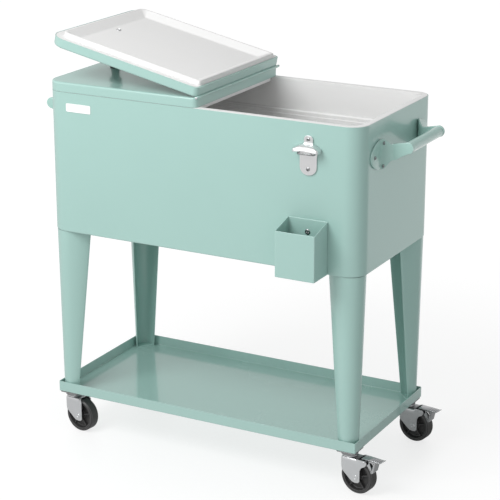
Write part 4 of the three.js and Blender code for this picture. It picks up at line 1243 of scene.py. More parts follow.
def leg_surface(s):
    """Gutter-shaped leg: three arcs carried from the foot to the top.

    At every height the corner arc turns past a quarter circle, and at each of its ends an arc
    about a centre on the same radius curls the flange outwards; all sizes run straight from
    foot to top.
    """
    def foot_to_top(low, high):
        """A size at every row, which runs straight from foot to top."""
        return np.linspace(low, high, LEG_ROWS)[:, None]

    inset = foot_to_top(s.low_inset, s.high_inset)
    corner = foot_to_top(s.low_corner, s.high_corner)
    flange = foot_to_top(s.low_flange, s.high_flange)
    cx = TUB_HALF_X - inset - corner
    cy = TUB_HALF_Y - inset - corner
    rho = flange / s.curl
    low, high = -s.turn, QUARTER_TURN + s.turn
    first = np.linspace(low - s.curl, low, LEG_CURL_STEPS + 1)[None, :-1]
    bend = np.linspace(low, high, LEG_BEND_STEPS + 1)[None]
    second = np.linspace(high, high + s.curl, LEG_CURL_STEPS + 1)[None, 1:]
    angle = np.concatenate([first, bend, second], 1)
    flat = np.zeros_like(angle)

    def arc_centre(limit):
        """Centre of the curled flange that begins at the given angle."""
        return cx + (corner - rho) * math.cos(limit), cy + (corner - rho) * math.sin(limit)

    hx, hy = arc_centre(low)
    kx, ky = arc_centre(high)
    is_first = np.arange(angle.shape[1]) < first.shape[1]
    is_second = np.arange(angle.shape[1]) >= first.shape[1] + bend.shape[1]
    x = np.where(is_first, hx, np.where(is_second, kx, cx)) + flat
    y = np.where(is_first, hy, np.where(is_second, ky, cy)) + flat
    r = np.where(is_first | is_second, rho, corner) + flat
    round_end = np.linspace(0, math.pi, 5)[1:-1]
    half = s.sheet * HALF

    def offset_line(distance):
        """The leg's line in plan, moved inwards by a distance."""
        across = r - distance
        return np.stack([x + across * np.cos(angle), y + across * np.sin(angle)], -1)

    def rounded_edge(column, way):
        """Half circle across the sheet, past the edge in the given direction."""
        a = angle[:, column]
        normal = np.stack([np.cos(a), np.sin(a)], -1)
        tangent = np.stack([-np.sin(a), np.cos(a)], -1) * way
        middle = np.stack([x[:, column], y[:, column]], -1)
        middle = middle + (r[:, column] - half)[:, None] * normal
        turn_share = round_end[None, :, None]
        return middle[:, None] + half * (
            np.cos(turn_share) * normal[:, None] + np.sin(turn_share) * tangent[:, None]
        )

    outer = offset_line(0.0)
    inner = offset_line(s.sheet)[:, ::-1]
    section = np.concatenate(
        [outer, rounded_edge(-1, 1), inner, rounded_edge(0, -1)[:, ::-1]], 1
    )
    gutter = capped(section, foot_to_top(s.low, s.high)[:, 0])
    low_plate = placed(plate(outer[0], s.sheet, LEG_PLATE_EDGE), z=s.low)
    high_plate = placed(plate(outer[-1], s.sheet, LEG_PLATE_EDGE), z=s.high - s.sheet)
    return [gutter, low_plate, high_plate]


def shelf_surface(s):
    """Folded tray carried round the shelf's outline."""
    sheet = s.shelf_sheet
    half_x, half_y = ((SHELF_HIGH - SHELF_LOW) * HALF)[:2]
    radii = [0, s.shelf_bend, sheet / 3, sheet / 3, s.shelf_bend - sheet, 0]
    profile = folded_sheet(SHELF_LOW[2], SHELF_HIGH[2], sheet, radii)
    inset = profile[:, 1]
    radius = np.maximum(s.shelf_corner - inset, MM)[:, None]
    rings = centred_rings(half_x, half_y, radius, BEND_STEPS, 2 * MM, inset)
    return placed(capped(rings, profile[:, 0]), y=TUB_Y)


PLATE_CORNER, PLATE_EDGE = 6 * MM, 0.6 * MM
BOLT, BOLT_HEIGHT = 3.4 * MM, 2.2 * MM
BOLT_X_SHARE, BOLT_Y_SHARE = 0.74, 0.76

# The upper race: shares of its radius with drops below the plate, shares along its lower face,
# and the round of each of these corners, drops and rounds in millimetres
RACE_UPPER = ((0, 0), (0.8, 0), (0.86, 2), (1, 3))
RACE_LOWER_SHARES = (1, 0.9, 0.3, 0)
RACE_ROUNDS = (0, 1, 1, 1.2, 0.8, 0.4, 0, 0)


def caster_plate(c):
    """Mounting plate with four bolts, and the dished upper race under it."""
    outline = centred_rings(c.plate_x, c.plate_y, PLATE_CORNER, 6)
    under = SHELF_LOW[2] - GAP - c.plate
    base = placed(plate(outline, c.plate, PLATE_EDGE), z=under)
    upper = [[c.race * share, under - drop * MM] for share, drop in RACE_UPPER]
    lower = [[c.race * share, c.race_bottom] for share in RACE_LOWER_SHARES]
    race = turned_corners(upper + lower, metres(RACE_ROUNDS), 4, 56, GAP)
    head = moved(screw_head(BOLT, BOLT_HEIGHT, recess=False), UPSIDE_DOWN)
    x, y = c.plate_x * BOLT_X_SHARE, c.plate_y * BOLT_Y_SHARE
    return [base, race, *(placed(head, sx * x, sy * y, under) for _, sx, sy in CORNERS)]


# The fork's side plate in millimetres: a point of its lower edge and where the top line is there
FORK_LOW_EDGE = (
    (-14.5, 67.0, -14.5), (-9.5, 53.0, -9.5), (-1.5, 46.0, -3.0), (13.0, 33.5, 10.0),
    (18.5, 30.0, 16.0), (26.5, 28.5, 24.0), (34.0, 29.5, 32.0), (38.3, 34.0, 36.0),
)
FORK_BRAKED_EDGE = (
    (38.3, 61.0, 38.3), (42.0, 69.0, 42.0), (52.0, 75.0, 46.0), (55.5, 80.0, 49.0),
    (55.3, 84.5, 51.0),
)
FORK_PLAIN_EDGE = ((38.3, 72.0, 35.0), (33.5, 82.5, 31.2))
FORK_BEND, FORK_CORNER, FORK_EDGE = 6.5 * MM, 7 * MM, 0.35 * MM
FORK_SAMPLES, FORK_ARC_STEPS, FORK_CROSS_POINTS = 6, 8, 7
FORK_BEND_ROWS, FORK_SIDE_ROWS = 6, 8
DECK_SHARES = (0.0, 0.35, 0.7, 0.95)
DECK_FADE = 3 * MM


def fork_shell(c, braked):
    """Pressed fork: deck, bends, front wall and side plates in one open sheet.

    Columns follow a U in plan, from the rear of one side round the front to the rear of the
    other. Rows go from the deck's middle line out to the bend, down its quarter circle, and
    then straight from the top of each side to the side's lower edge.
    """
    edge = metres(FORK_LOW_EDGE + (FORK_BRAKED_EDGE if braked else FORK_PLAIN_EDGE))
    between = np.linspace(0, len(edge) - 1, (len(edge) - 1) * FORK_SAMPLES + 1)
    index = np.arange(len(edge))
    low_u, low_z, top_u = (np.interp(between, index, edge[:, k]) for k in range(3))
    h, front, corner = c.fork_half, edge[0, 0], FORK_CORNER
    arc = np.linspace(0, 1, FORK_ARC_STEPS + 1)[1:-1] * QUARTER_TURN
    arc_u = front + corner - corner * np.sin(arc)
    arc_v = h - corner + corner * np.cos(arc)
    cross = np.linspace(h - corner, corner - h, FORK_CROSS_POINTS)
    start = np.flatnonzero(top_u > front + corner)[0]

    def along_u(side, turning, middle, sign=1):
        """A value from the rear of one side round the front to the rear of the other."""
        rear = side[start:]
        return np.concatenate([rear[::-1], turning, middle, sign * turning[::-1], sign * rear])

    across = np.full_like(cross, front)
    top_line_u = along_u(np.maximum(top_u, front + corner), arc_u, across)
    top_line_v = along_u(np.full_like(top_u, h), arc_v, cross, -1)
    low_line_u = along_u(np.maximum(low_u, front + corner), arc_u, across)
    ahead = slice(2 * FORK_SAMPLES)
    wall_low = np.interp(arc_u, low_u[ahead], low_z[ahead])
    low_line_z = along_u(low_z, wall_low, np.full_like(cross, edge[0, 1]))
    top = np.stack([top_line_u, top_line_v], -1)
    low = np.stack([low_line_u, top_line_v], -1)
    step = np.gradient(top, axis=0)
    step = step / np.maximum(np.linalg.norm(step, axis=1), TINY)[:, None]
    outward = np.stack([-step[:, 1], step[:, 0]], -1)
    outward = -outward * np.sign(outward[len(outward) // 2, 0])
    drop = np.minimum(FORK_BEND, (c.fork_top - low_line_z) * HALF)
    bend = drop * (1 - smooth_share(top_line_u, c.deck_end - DECK_FADE, c.deck_end + MM))
    inner = top - outward * bend[:, None]
    spine = np.stack([np.maximum(top_line_u, front + h), np.zeros_like(top_line_u)], -1)
    quarter = np.linspace(0, QUARTER_TURN, FORK_BEND_ROWS)
    shares = np.linspace(0, 1, FORK_SIDE_ROWS + 1)[1:]
    fall = [drop * (1 - math.cos(q)) for q in quarter]
    fall += [drop + (c.fork_top - low_line_z - drop) * w for w in shares]
    back_from = [bend * (1 - math.sin(q)) for q in quarter] + [np.zeros_like(bend)] * len(shares)
    rows = [spine * (1 - w) + inner * w for w in DECK_SHARES]
    flats = len(rows)
    for down, back in zip(fall, back_from):
        share = (down / (c.fork_top - low_line_z))[:, None]
        rows.append(top * (1 - share) + low * share - outward * back[:, None])
    heights = [np.full(len(top), c.fork_top)] * flats + [c.fork_top - down for down in fall]
    rows = np.stack(rows)
    points = np.concatenate([rows, np.stack(heights)[..., None]], -1)
    on_deck = (top_line_u[:-1] < c.deck_end + TINY) & (top_line_u[1:] < c.deck_end + TINY)
    keep = np.ones((len(rows) - 1, len(top) - 1), bool)
    keep[:flats] = on_deck
    return surface(points, around=False, keep=keep)


# Radius and height of the kingpin's corners, in millimetres
KINGPIN = ((0, 74), (5, 74), (5, 79), (4, 79), (4, 97), (0, 97))
KINGPIN_ROUNDS = (0, 1, 0.3, 0.3, 0.3, 0)
AXLE, PIVOT, PIVOT_HEAD_HEIGHT = 4 * MM, 1.8 * MM, 1.2 * MM

# The lower race below its top: share of its radius, drop below the fork's deck and round, in
# millimetres
RING_FLAT_SHARE, RING_TOP_ROUNDS = 0.6, (0, 0.5, 0.8)
RING_SIDE = (
    (1, 0.6, 0.3), (0.9, 1, 0), (0.9, 1.6, 0), (1, 2, 0.3), (1, 4, 0.6), (0.9, 4.6, 0),
    (0, 4.6, 0),
)


def fork_fittings(c, braked):
    """Grooved lower race, kingpin, axle with domed heads and, on a braked fork, the pivot."""
    flat = c.ring * RING_FLAT_SHARE
    top = [[0, c.ring_top], [flat, c.ring_top], [c.ring, c.ring_top - MM]]
    side = [[c.ring * share, c.fork_top - drop * MM] for share, drop, _ in RING_SIDE]
    rounds = metres([*RING_TOP_ROUNDS, *(edge for _, _, edge in RING_SIDE)])
    ring = turned_corners(top + side, rounds, 4, 48, 0.2 * MM)
    parts = [ring, turned_corners(metres(KINGPIN), metres(KINGPIN_ROUNDS), 3, 32)]
    rods = [(c.trail, c.radius, AXLE, c.axle_head, c.axle_height)]
    if braked:
        rods.append((c.pivot_u, c.pivot_z, PIVOT, c.pivot_head, PIVOT_HEAD_HEIGHT))
    for u, z, radius, head_radius, head_height in rods:
        whole = headed_rod(radius, c.fork_half, rivet_head(head_radius, head_height))
        parts += [placed(along_y(part), x=u, z=z) for part in whole]
    return parts


HEAD_ROUND_SHARE = 0.6
DIMPLE_SHARES, DIMPLE_FLOOR_SHARE, DIMPLE_EDGE = (0.45, 0.35), 0.6, 0.2 * MM


def rivet_head(radius, height):
    """Flat-topped head with a rounded rim and a small dimple."""
    rim, foot = (radius * share for share in DIMPLE_SHARES)
    floor = height * DIMPLE_FLOOR_SHARE
    return turned_corners(
        [[0, 0], [radius, 0], [radius, height], [rim, height], [foot, floor], [0, floor]],
        [0, 0, height * HEAD_ROUND_SHARE, DIMPLE_EDGE, DIMPLE_EDGE, 0], 4, 32,
    )


RIM_DEPTH, RIM_BEVEL, HUB_BEVEL = 8.5 * MM, 2.5 * MM, 1.5 * MM
TREAD_FALL, TREAD_SHOULDER = 3.2 * MM, 3.4 * MM
WHEEL_ROUNDS = (0.4, 0.8, 2, 2, 1, 1.6, 2.2)
WHEEL_SEGMENTS, SPOKES, SPOKE_START = 72, 5, 0.3
SPOKE, SPOKE_EDGE, SPOKE_INSET = 2.2 * MM, 0.6 * MM, 4 * MM


def wheel_parts(c):
    """Turned wheel with a rolled tread, sunk web and hub, and five spokes on each side."""
    rim_in, rim_out = c.radius - RIM_DEPTH, c.radius - TREAD_FALL
    sunk, tread = rim_in - RIM_BEVEL, c.half - TREAD_SHOULDER
    corners = [
        [c.bore, -c.hub_half], [c.hub, -c.hub_half], [c.hub + HUB_BEVEL, -c.web],
        [sunk, -c.web], [rim_in, -c.half + MM], [rim_out, -c.half], [c.radius, -tread],
    ]
    corners = np.concatenate([corners, np.array(corners)[::-1] * [1, -1]])
    radii = metres([*WHEEL_ROUNDS, *WHEEL_ROUNDS[::-1]])
    profile = fillet(corners, radii, 4, 0.2 * MM)
    parts = [turned_ring(profile, WHEEL_SEGMENTS)]
    line = np.stack([np.linspace(c.hub - MM, rim_in - 0.5 * MM, 8), np.zeros(8)], -1)
    rib = ribbon(line, c.half - SPOKE_INSET, SPOKE, SPOKE_EDGE)
    for index in range(SPOKES):
        angle = 2 * math.pi * index / SPOKES + SPOKE_START
        parts.append(moved(rib, Matrix.Rotation(angle, 4, "Z")))
    axle = Matrix.Translation((c.trail, 0, c.radius))
    return all_moved(parts, axle @ Matrix.Rotation(QUARTER_TURN, 4, "X"))


def side_ribbon(path, half_width, thickness, edge):
    """A ribbon whose path lies in X and Z and whose width lies along Y."""
    return swapped(ribbon(path, half_width, thickness, edge))


RING_POINTS = 72


def framed_plate(outer, hole, thickness):
    """A plate with a hole: four rings, outside low and high, then hole high and low."""
    rings = []
    for outline in (outer, hole):
        closed = np.concatenate([outline, outline[:1]])
        along = np.concatenate([[0], np.cumsum(np.linalg.norm(np.diff(closed, axis=0), axis=1))])
        place = np.linspace(0, along[-1], RING_POINTS, endpoint=False)
        rings.append(np.stack([np.interp(place, along, closed[:, k]) for k in (0, 1)], -1))
    out, cut = rings
    levels = np.stack([out, out, cut, cut])
    heights = np.array([-thickness, thickness, thickness, -thickness]) * HALF
    return surface(stack_rings(levels, heights), loop=True)


# The pedal in millimetres: its tread's line, its cheek's outline and window with the radius of
# each corner, the brace under the tread and the ribs on it
PEDAL_TREAD = ((38.6, 89.4), (60, 90.6), (88.2, 89.9), (93, 93.4))
PEDAL_TREAD_ROUNDS = (0, 30, 5, 0)
PEDAL_CHEEK = (
    (77, 89), (45, 88), (48, 80), (56.6, 73.3), (63, 63.8), (65.02, 58.6), (68.3, 59.6),
)
PEDAL_CHEEK_ROUNDS = (3, 2, 3, 6, 6, 0.4, 0.6)
PEDAL_WINDOW = (
    (72, 86), (60, 85.4), (61.5, 79.5), (64.6, 73), (66.6, 66.4), (67.4, 66.4), (68.6, 72),
)
PEDAL_BRACE = ((76, 88.8), (69.4, 62))
PEDAL_RIBS, PEDAL_RIB_HEIGHT, PEDAL_RIB_WIDTH = (66.0, 71.5, 77.0, 82.5), 91.2, 1.6

TREAD_TIP_SHARE, TREAD_TIP_START = 0.35, 0.93
TREAD_SHEET, TREAD_EDGE = 1.9 * MM, 0.6 * MM
RIB_WIDTH_SHARE, RIB_SHEET, RIB_EDGE = 0.8, 1.3 * MM, 0.4 * MM
CHEEK, PEDAL_WINDOW_ROUND, BRACE_EDGE, BARREL_EDGE = 1.6 * MM, 0.8 * MM, 0.4 * MM, 0.5 * MM
PAD_GAP, PAD_THICKNESS, PAD_EDGE, PAD_ANGLES = 3 * MM, 3.6 * MM, 0.8 * MM, (24, 40)


def pedal_parts(c):
    """Brake pedal: tread plate with its lip, two cheeks with a window, barrel and brake pad."""
    top = rounded_path(metres(PEDAL_TREAD), metres(PEDAL_TREAD_ROUNDS), 8)
    share = np.linspace(0, 1, len(top))
    half_width = c.pedal * (1 - TREAD_TIP_SHARE * smooth_share(share, TREAD_TIP_START, 1.0))
    parts = [side_ribbon(top, half_width, TREAD_SHEET, TREAD_EDGE)]
    for x in PEDAL_RIBS:
        rib = metres([[x, PEDAL_RIB_HEIGHT], [x + PEDAL_RIB_WIDTH, PEDAL_RIB_HEIGHT]])
        parts.append(side_ribbon(rib, c.pedal * RIB_WIDTH_SHARE, RIB_SHEET, RIB_EDGE))
    outer = fillet(metres(PEDAL_CHEEK), metres(PEDAL_CHEEK_ROUNDS), 4)
    cheek = framed_plate(outer, fillet(metres(PEDAL_WINDOW), PEDAL_WINDOW_ROUND, 4), CHEEK)
    parts += [swapped(placed(cheek, z=way * (c.pedal - CHEEK * HALF))) for way in (-1, 1)]
    angle = np.radians(np.linspace(*PAD_ANGLES, 12))
    reach = c.radius + PAD_GAP
    pad = np.stack([c.trail + reach * np.cos(angle), c.radius + reach * np.sin(angle)], -1)
    parts.append(side_ribbon(pad, c.pedal, PAD_THICKNESS, PAD_EDGE))
    parts.append(side_ribbon(metres(PEDAL_BRACE), c.pedal, CHEEK, BRACE_EDGE))
    barrel = rod(c.barrel, -c.pedal, c.pedal, BARREL_EDGE, 32, 0.2 * MM)
    parts.append(placed(along_y(barrel), x=c.pivot_u, z=c.pivot_z))
    return parts


# The arm's edges in millimetres: places between flange and grip, and heights from end to end
ARM_LOW_EDGE = ((429, 443.5, 453), (771, 774, 778, 784, 793.8))
ARM_HIGH_EDGE = ((431, 440, 452), (810, 812.3, 814.2, 816.7, 820.8))
LEAST_HALF, ARM_EDGE = 0.05 * MM, 1.6 * MM
ARM_OUT_SHARE = 0.85
ARM_BEND_STEPS, FLANGE_POINTS, ARM_POINTS = 28, 26, 44


def handle_bracket(h):
    """Right back bracket: one rounded section from the flange's tip round the bend to the grip.

    The path lies in plan: along the wall, round the bend and out to the grip. The section's
    half height follows the flange's oval, then the arm's sides, then the circle round the grip.
    """
    wall = TUB_HALF_X + GAP
    face = wall + h.flange
    end_x = h.grip_x + h.wrap
    tip_y = h.oval_y + h.long
    middle_x = wall + h.flange * HALF
    middle_y = h.inner + h.arm * HALF
    bend = h.bend + h.flange * HALF
    corner = np.array([[middle_x, tip_y], [middle_x, middle_y], [end_x, middle_y]])
    turning = rounded_path(corner, [0, bend, 0], ARM_BEND_STEPS)
    near, far = (
        np.sin(np.linspace(0, 1, count)[:, None] * QUARTER_TURN)
        for count in (FLANGE_POINTS, ARM_POINTS)
    )
    flange_line = corner[0] + (turning[1] - corner[0]) * near[:-1]
    arm_line = turning[-2] + (corner[2] - turning[-2]) * far[1:]
    path = np.concatenate([flange_line, turning[1:-1], arm_line])
    x, y = path[:, 0], path[:, 1]
    oval = np.sqrt(np.clip(1 - ((y - h.oval_y) / h.long) ** 2, 0, 1)) * h.high
    oval = np.where(y < h.oval_y, h.high, oval)
    out = smooth_share(x, middle_x + MM, middle_x + h.bend * ARM_OUT_SHARE)
    low, high = (
        np.interp(x, [face, *metres(places), h.grip_x], metres(heights))
        for places, heights in (ARM_LOW_EDGE, ARM_HIGH_EDGE)
    )
    past = x > h.grip_x
    round_end = np.sqrt(np.clip(h.wrap**2 - (x - h.grip_x) ** 2, 0, None))
    low = np.where(past, h.grip_z - round_end, low)
    high = np.where(past, h.grip_z + round_end, high)
    top = (h.z + oval) * (1 - out) + high * out
    bottom = (h.z - oval) * (1 - out) + low * out
    thick = h.flange + (h.arm - h.flange) * out
    half = np.maximum((top - bottom) * HALF, LEAST_HALF)
    return ribbon(path, half, thick, ARM_EDGE, middle=(top + bottom) * HALF, steps=4)


GROOVE_WIDTH, GROOVE_DEPTH = 2.4 * MM, 0.8 * MM
GRIP_ROUNDS = (0, 0.6, 0.4, 0.6)


def grip_bar(h):
    """Round grip with a shallow groove at each end."""
    end, groove = h.inner - GAP, GROOVE_WIDTH
    r, sunk = h.grip, h.grip - GROOVE_DEPTH
    half = np.array([[0, -end], [sunk, -end], [sunk, groove - end], [r, groove - end + MM]])
    corners = np.concatenate([half, half[::-1] * [1, -1]])
    rounds = metres([*GRIP_ROUNDS, *GRIP_ROUNDS[::-1]])
    bar = turned_corners(corners, rounds, 4, 56, GAP)
    return placed(along_y(bar), x=h.grip_x, y=TUB_Y, z=h.grip_z)


# Radii of the plate's corners, the sides of its wide part as shares of the hood's half width
# with drops below the hood's top, and the tooth's line forward of the plate, in millimetres
OPENER_ROUNDS = (10.9, 3, 3, 5, 3, 4, 6, 20.5)
OPENER_WIDE, OPENER_WIDE_LOW_SHARE = ((0.55, 6), (0.88, 12)), 0.9
OPENER_NECK, OPENER_EDGE = 8 * MM, 0.7 * MM
TOOTH, TOOTH_ROUNDS = ((0.0, 796), (-1.5, 797), (-6, 801), (-7.5, 806)), (0, 2, 3, 0)
TOOTH_HALF, TOOTH_SHEET, TOOTH_EDGE = 8 * MM, 1.6 * MM, 0.5 * MM


def opener_parts(o):
    """The opener's back plate, its outline one half and its mirror image, and the tooth."""
    corners = np.array([
        [o.tab_half, o.tab_top], [o.tab_half, o.wide_top],
        *([o.wide_half * share, o.wide_top - drop * MM] for share, drop in OPENER_WIDE),
        [o.wide_half * OPENER_WIDE_LOW_SHARE, o.wide_bottom + MM],
        [o.low_half + MM, o.shoulder - MM], [o.low_half, o.shoulder - OPENER_NECK],
        [o.low_half, o.low_bottom],
    ])
    rounds = metres([*OPENER_ROUNDS, *OPENER_ROUNDS[::-1]])
    outline = fillet(np.concatenate([corners, corners[::-1] * [-1, 1]]), rounds, 8)
    flat = on_front(plate(outline, o.plate, OPENER_EDGE), o.opener_x, FRONT)
    path = rounded_path(metres(TOOTH), metres(TOOTH_ROUNDS), 4)
    points, faces = ribbon(path, TOOTH_HALF, TOOTH_SHEET, TOOTH_EDGE)
    tooth = points[:, [2, 0, 1]] + [o.opener_x, FRONT - o.plate, 0]
    return [flat, (tooth, faces)]


HOOD_SHEET, HOOD_EDGE = 2.2 * MM, 0.4 * MM
HOOD_ROWS, HOOD_COLUMNS = 26, 49
HOOD_TOP_SHARE = 0.33
HOOD_SHOULDER_SHARE = 0.6
HOOD_POWER, HOOD_RISE_POWER, HOOD_WIDEN_POWER, HOOD_REACH_POWER = 9.0, 1.1, 0.9, 0.95
LIP_ARCH, LIP_DROP = 4.5 * MM, 1.5 * MM
TONGUE_HALF, TONGUE_SHEET, TONGUE_EDGE, TONGUE_DROP = 1.7 * MM, 1.8 * MM, 0.8 * MM, 4.6 * MM
TONGUE_START, TONGUE_WIDTH_SHARE, TONGUE_REACH_SHARE = 0.12, 0.62, 0.78


def boxy(angle):
    """A rounded square's X and Y: cos and sin over (|cos|^n + |sin|^n)^(1/n)."""
    x, y = np.cos(angle), np.sin(angle)
    reach = (abs(x) ** HOOD_POWER + abs(y) ** HOOD_POWER) ** (-1 / HOOD_POWER)
    return x * reach, y * reach


def opener_hood(o):
    """Domed hood whose plan is half a rounded square, as wide as the tab at the top.

    From the wall to the lip the reach grows as a sine and the height falls as the matching
    cosine, each to its own power; the lip is arched with the fourth power of the plan's sine.
    """
    along = np.linspace(0, 1, HOOD_ROWS)[:, None] * QUARTER_TURN
    angle = np.linspace(0, math.pi, HOOD_COLUMNS)[None]
    plan_x, plan_y = boxy(angle)
    rise = np.cos(along) ** HOOD_RISE_POWER
    widening = np.clip((1 - rise) / HOOD_SHOULDER_SHARE, 0, 1) ** HOOD_WIDEN_POWER
    width = (o.wide_half - MM) * (HOOD_TOP_SHARE + (1 - HOOD_TOP_SHARE) * widening)
    x = o.opener_x + width * plan_x
    y = FRONT - MM - (o.hood_reach - MM) * np.sin(along) ** HOOD_REACH_POWER * plan_y
    lip = o.wide_bottom + LIP_ARCH * np.sin(angle) ** 4 - LIP_DROP
    z = lip + (o.wide_top - lip) * rise * np.ones_like(angle)
    return surface(np.stack([x, y, z], -1), around=False)


def opener_inner_lip(o):
    """Rolled tongue under the hood's lip, on the hood's plan drawn in."""
    plan_x, plan_y = boxy(np.linspace(TONGUE_START, math.pi - TONGUE_START, 41))
    line = np.stack([o.opener_x + o.wide_half * TONGUE_WIDTH_SHARE * plan_x,
                     FRONT - o.hood_reach * TONGUE_REACH_SHARE * plan_y], -1)
    tongue = ribbon(line, TONGUE_HALF, TONGUE_SHEET, TONGUE_EDGE)
    return placed(tongue, z=o.wide_bottom - TONGUE_DROP)


CATCHER_ROW_SHARES, CATCHER_RIM_SHARE = (0.15, 0.3, 0.5, 0.7, 0.85, 0.97), 0.45
CATCHER_BEND, CATCHER_INNER_BEND = 1.6 * MM, 0.8 * MM
CATCHER_CORNER, CATCHER_LEAST_CORNER = 2.2 * MM, 0.7 * MM


def catcher_surface(o):
    """Folded box, open at the top: under the floor, up the outside, over the rim and back.

    The rim's height runs straight from the back wall's to the front's, and a row's height is
    its share of the way from the floor to the rim there.
    """
    (x0, y0, z0), (x1, y1, z1) = CATCHER_LOW, CATCHER_HIGH
    s = o.catcher_sheet
    wall = np.array(CATCHER_ROW_SHARES)
    far = FLAT_REACH
    under = rounded_path([[far, 0], [0, 0], [0, far]], [0, CATCHER_BEND, 0], 5, BEND_HOLD)[:-1]
    edge = s * CATCHER_RIM_SHARE
    rim = rounded_path([[0, -far], [0, 0], [s, 0], [s, -far]], [0, edge, edge, 0], 4)[1:-1]
    inner = [0, CATCHER_INNER_BEND, 0]
    floor = rounded_path([[s, far], [s, s], [far, s]], inner, 5, BEND_HOLD)[1:]
    straight = np.zeros((len(wall), 2))
    inside = straight + [s, 0]
    profile = np.concatenate([under, straight, rim, inside, floor])
    share = np.concatenate([
        np.zeros(len(under)), wall, np.ones(len(rim)), wall[::-1], np.zeros(len(floor)),
    ])
    insets = profile[:, 0]
    radius = np.maximum(CATCHER_CORNER - insets, CATCHER_LEAST_CORNER)[:, None]
    rings = ring_points(x0 + insets, x1 - insets, y0 + insets, y1 - insets, radius, 5, MM)
    along = (rings[..., 1] - y0) / (y1 - y0)
    rim_height = o.catcher_front + (z1 - o.catcher_front) * along
    z = z0 + (rim_height - z0) * share[:, None] + profile[:, 1:2]
    return surface(np.concatenate([rings, z[..., None]], -1), first=True, last=True)


BORDER_INSETS, BORDER_HEIGHT_SHARES = (0.4, 0.4, 1.6, 1.6), (0.3, 1, 1, 0.3)
LABEL_SHARE, LABEL_EDGE = 0.7, 0.15 * MM
RIVET, RIVET_INSET, RIVET_SHARE = 1.3 * MM, 4.5 * MM, 0.9


def name_plate_parts(o):
    """Blank plate with a raised border and a rivet at each end."""
    half_x, half_y, half_z = (LABEL_HIGH - LABEL_LOW) * HALF
    middle_x, _, middle_z = (LABEL_HIGH + LABEL_LOW) * HALF
    depth = half_y * 2
    outline = centred_rings(half_x, half_z, o.label_corner, 6)
    body = plate(outline, depth * LABEL_SHARE, LABEL_EDGE)
    inset = metres(BORDER_INSETS)
    radii = (o.label_corner - inset)[:, None]
    rings = centred_rings(half_x, half_z, radii, 6, inset=inset)
    border = surface(stack_rings(rings, np.array(BORDER_HEIGHT_SHARES) * depth), loop=True)
    rivet = screw_head(RIVET, depth * RIVET_SHARE, recess=False)
    rivets = [placed(rivet, x=way * (half_x - RIVET_INSET)) for way in (-1, 1)]
    return [on_front(part, middle_x, LABEL_HIGH[1], middle_z) for part in (body, border, *rivets)]


class CoolerOperator:
    """What the cooler's operators share."""

    bl_options = {"REGISTER", "UNDO"}


class COOLER_OT_tub(CoolerOperator, bpy.types.Operator):
    """Builds the painted tub, its moulded liner and the drain"""

    bl_idname = "cooler.tub"
    bl_label = "Tub and drain"

    def execute(self, context):
        tub, drain = context.scene.cooler_tub, context.scene.cooler_drain
        piece("tub_outer", [tub_shell(tub)], "mint_coat", "cabinet", "tub_shell")
        piece("tub_inner", [tub_liner(tub)], "white_gloss", "cabinet", "tub_liner")
        spout, nut, cap = drain_parts(drain, tub)
        piece("drain_tube", spout, "white_gloss", "cabinet", "drain_spout")
        piece("drain_lock_nut", nut, "white_gloss", "cabinet", "drain_nut")
        piece("drain_screw_cap", cap, "black_gloss", "drain_cap", "drain_cap")
        return {"FINISHED"}


class COOLER_OT_lids(CoolerOperator, bpy.types.Operator):
    """Builds the two lids with their undersides, knobs and the hinge between them"""

    bl_idname = "cooler.lids"
    bl_label = "Lids and hinge"

    def execute(self, context):
        lid, tub = context.scene.cooler_lids, context.scene.cooler_tub
        shell, under, knob = lid_shell(lid, tub), lid_liner(lid, tub), lid_knob(lid)
        for side, picks in (("left", (0, 2, 4)), ("right", (1, 3))):
            for name, parts, look, node in (
                (f"{side}_lid_outer", [shell, *knuckle_parts(lid, picks)], "mint_coat",
                 f"{side}_lid_shell"),
                (f"{side}_lid_underside", [under], "white_gloss", f"{side}_lid_liner"),
                (f"{side}_knob", [knob], "black_gloss", f"{side}_lid_knob"),
                (f"{side}_knob_fixing", knob_screw(lid), "zinc_plate", f"{side}_knob_screw"),
            ):
                if side == "right":
                    parts = [folded(lid, part) for part in parts]
                piece(name, parts, look, f"{side}_lid", node)
        piece("hinge_pin", hinge_rod(lid), "zinc_plate", "left_lid", "hinge_rod")
        return {"FINISHED"}


class COOLER_OT_stand(CoolerOperator, bpy.types.Operator):
    """Builds the four legs and the shelf"""

    bl_idname = "cooler.stand"
    bl_label = "Legs and shelf"

    def execute(self, context):
        s = context.scene.cooler_stand
        parts = leg_surface(s)
        for name, sx, sy in CORNERS:
            own = [placed(mirrored(part, sx, sy), y=TUB_Y) for part in parts]
            piece(f"{name}_leg_channel", own, "mint_coat", "cabinet", f"{name}_leg")
        piece("shelf_tray", [shelf_surface(s)], "shelf_coat", "cabinet", "shelf")
        return {"FINISHED"}


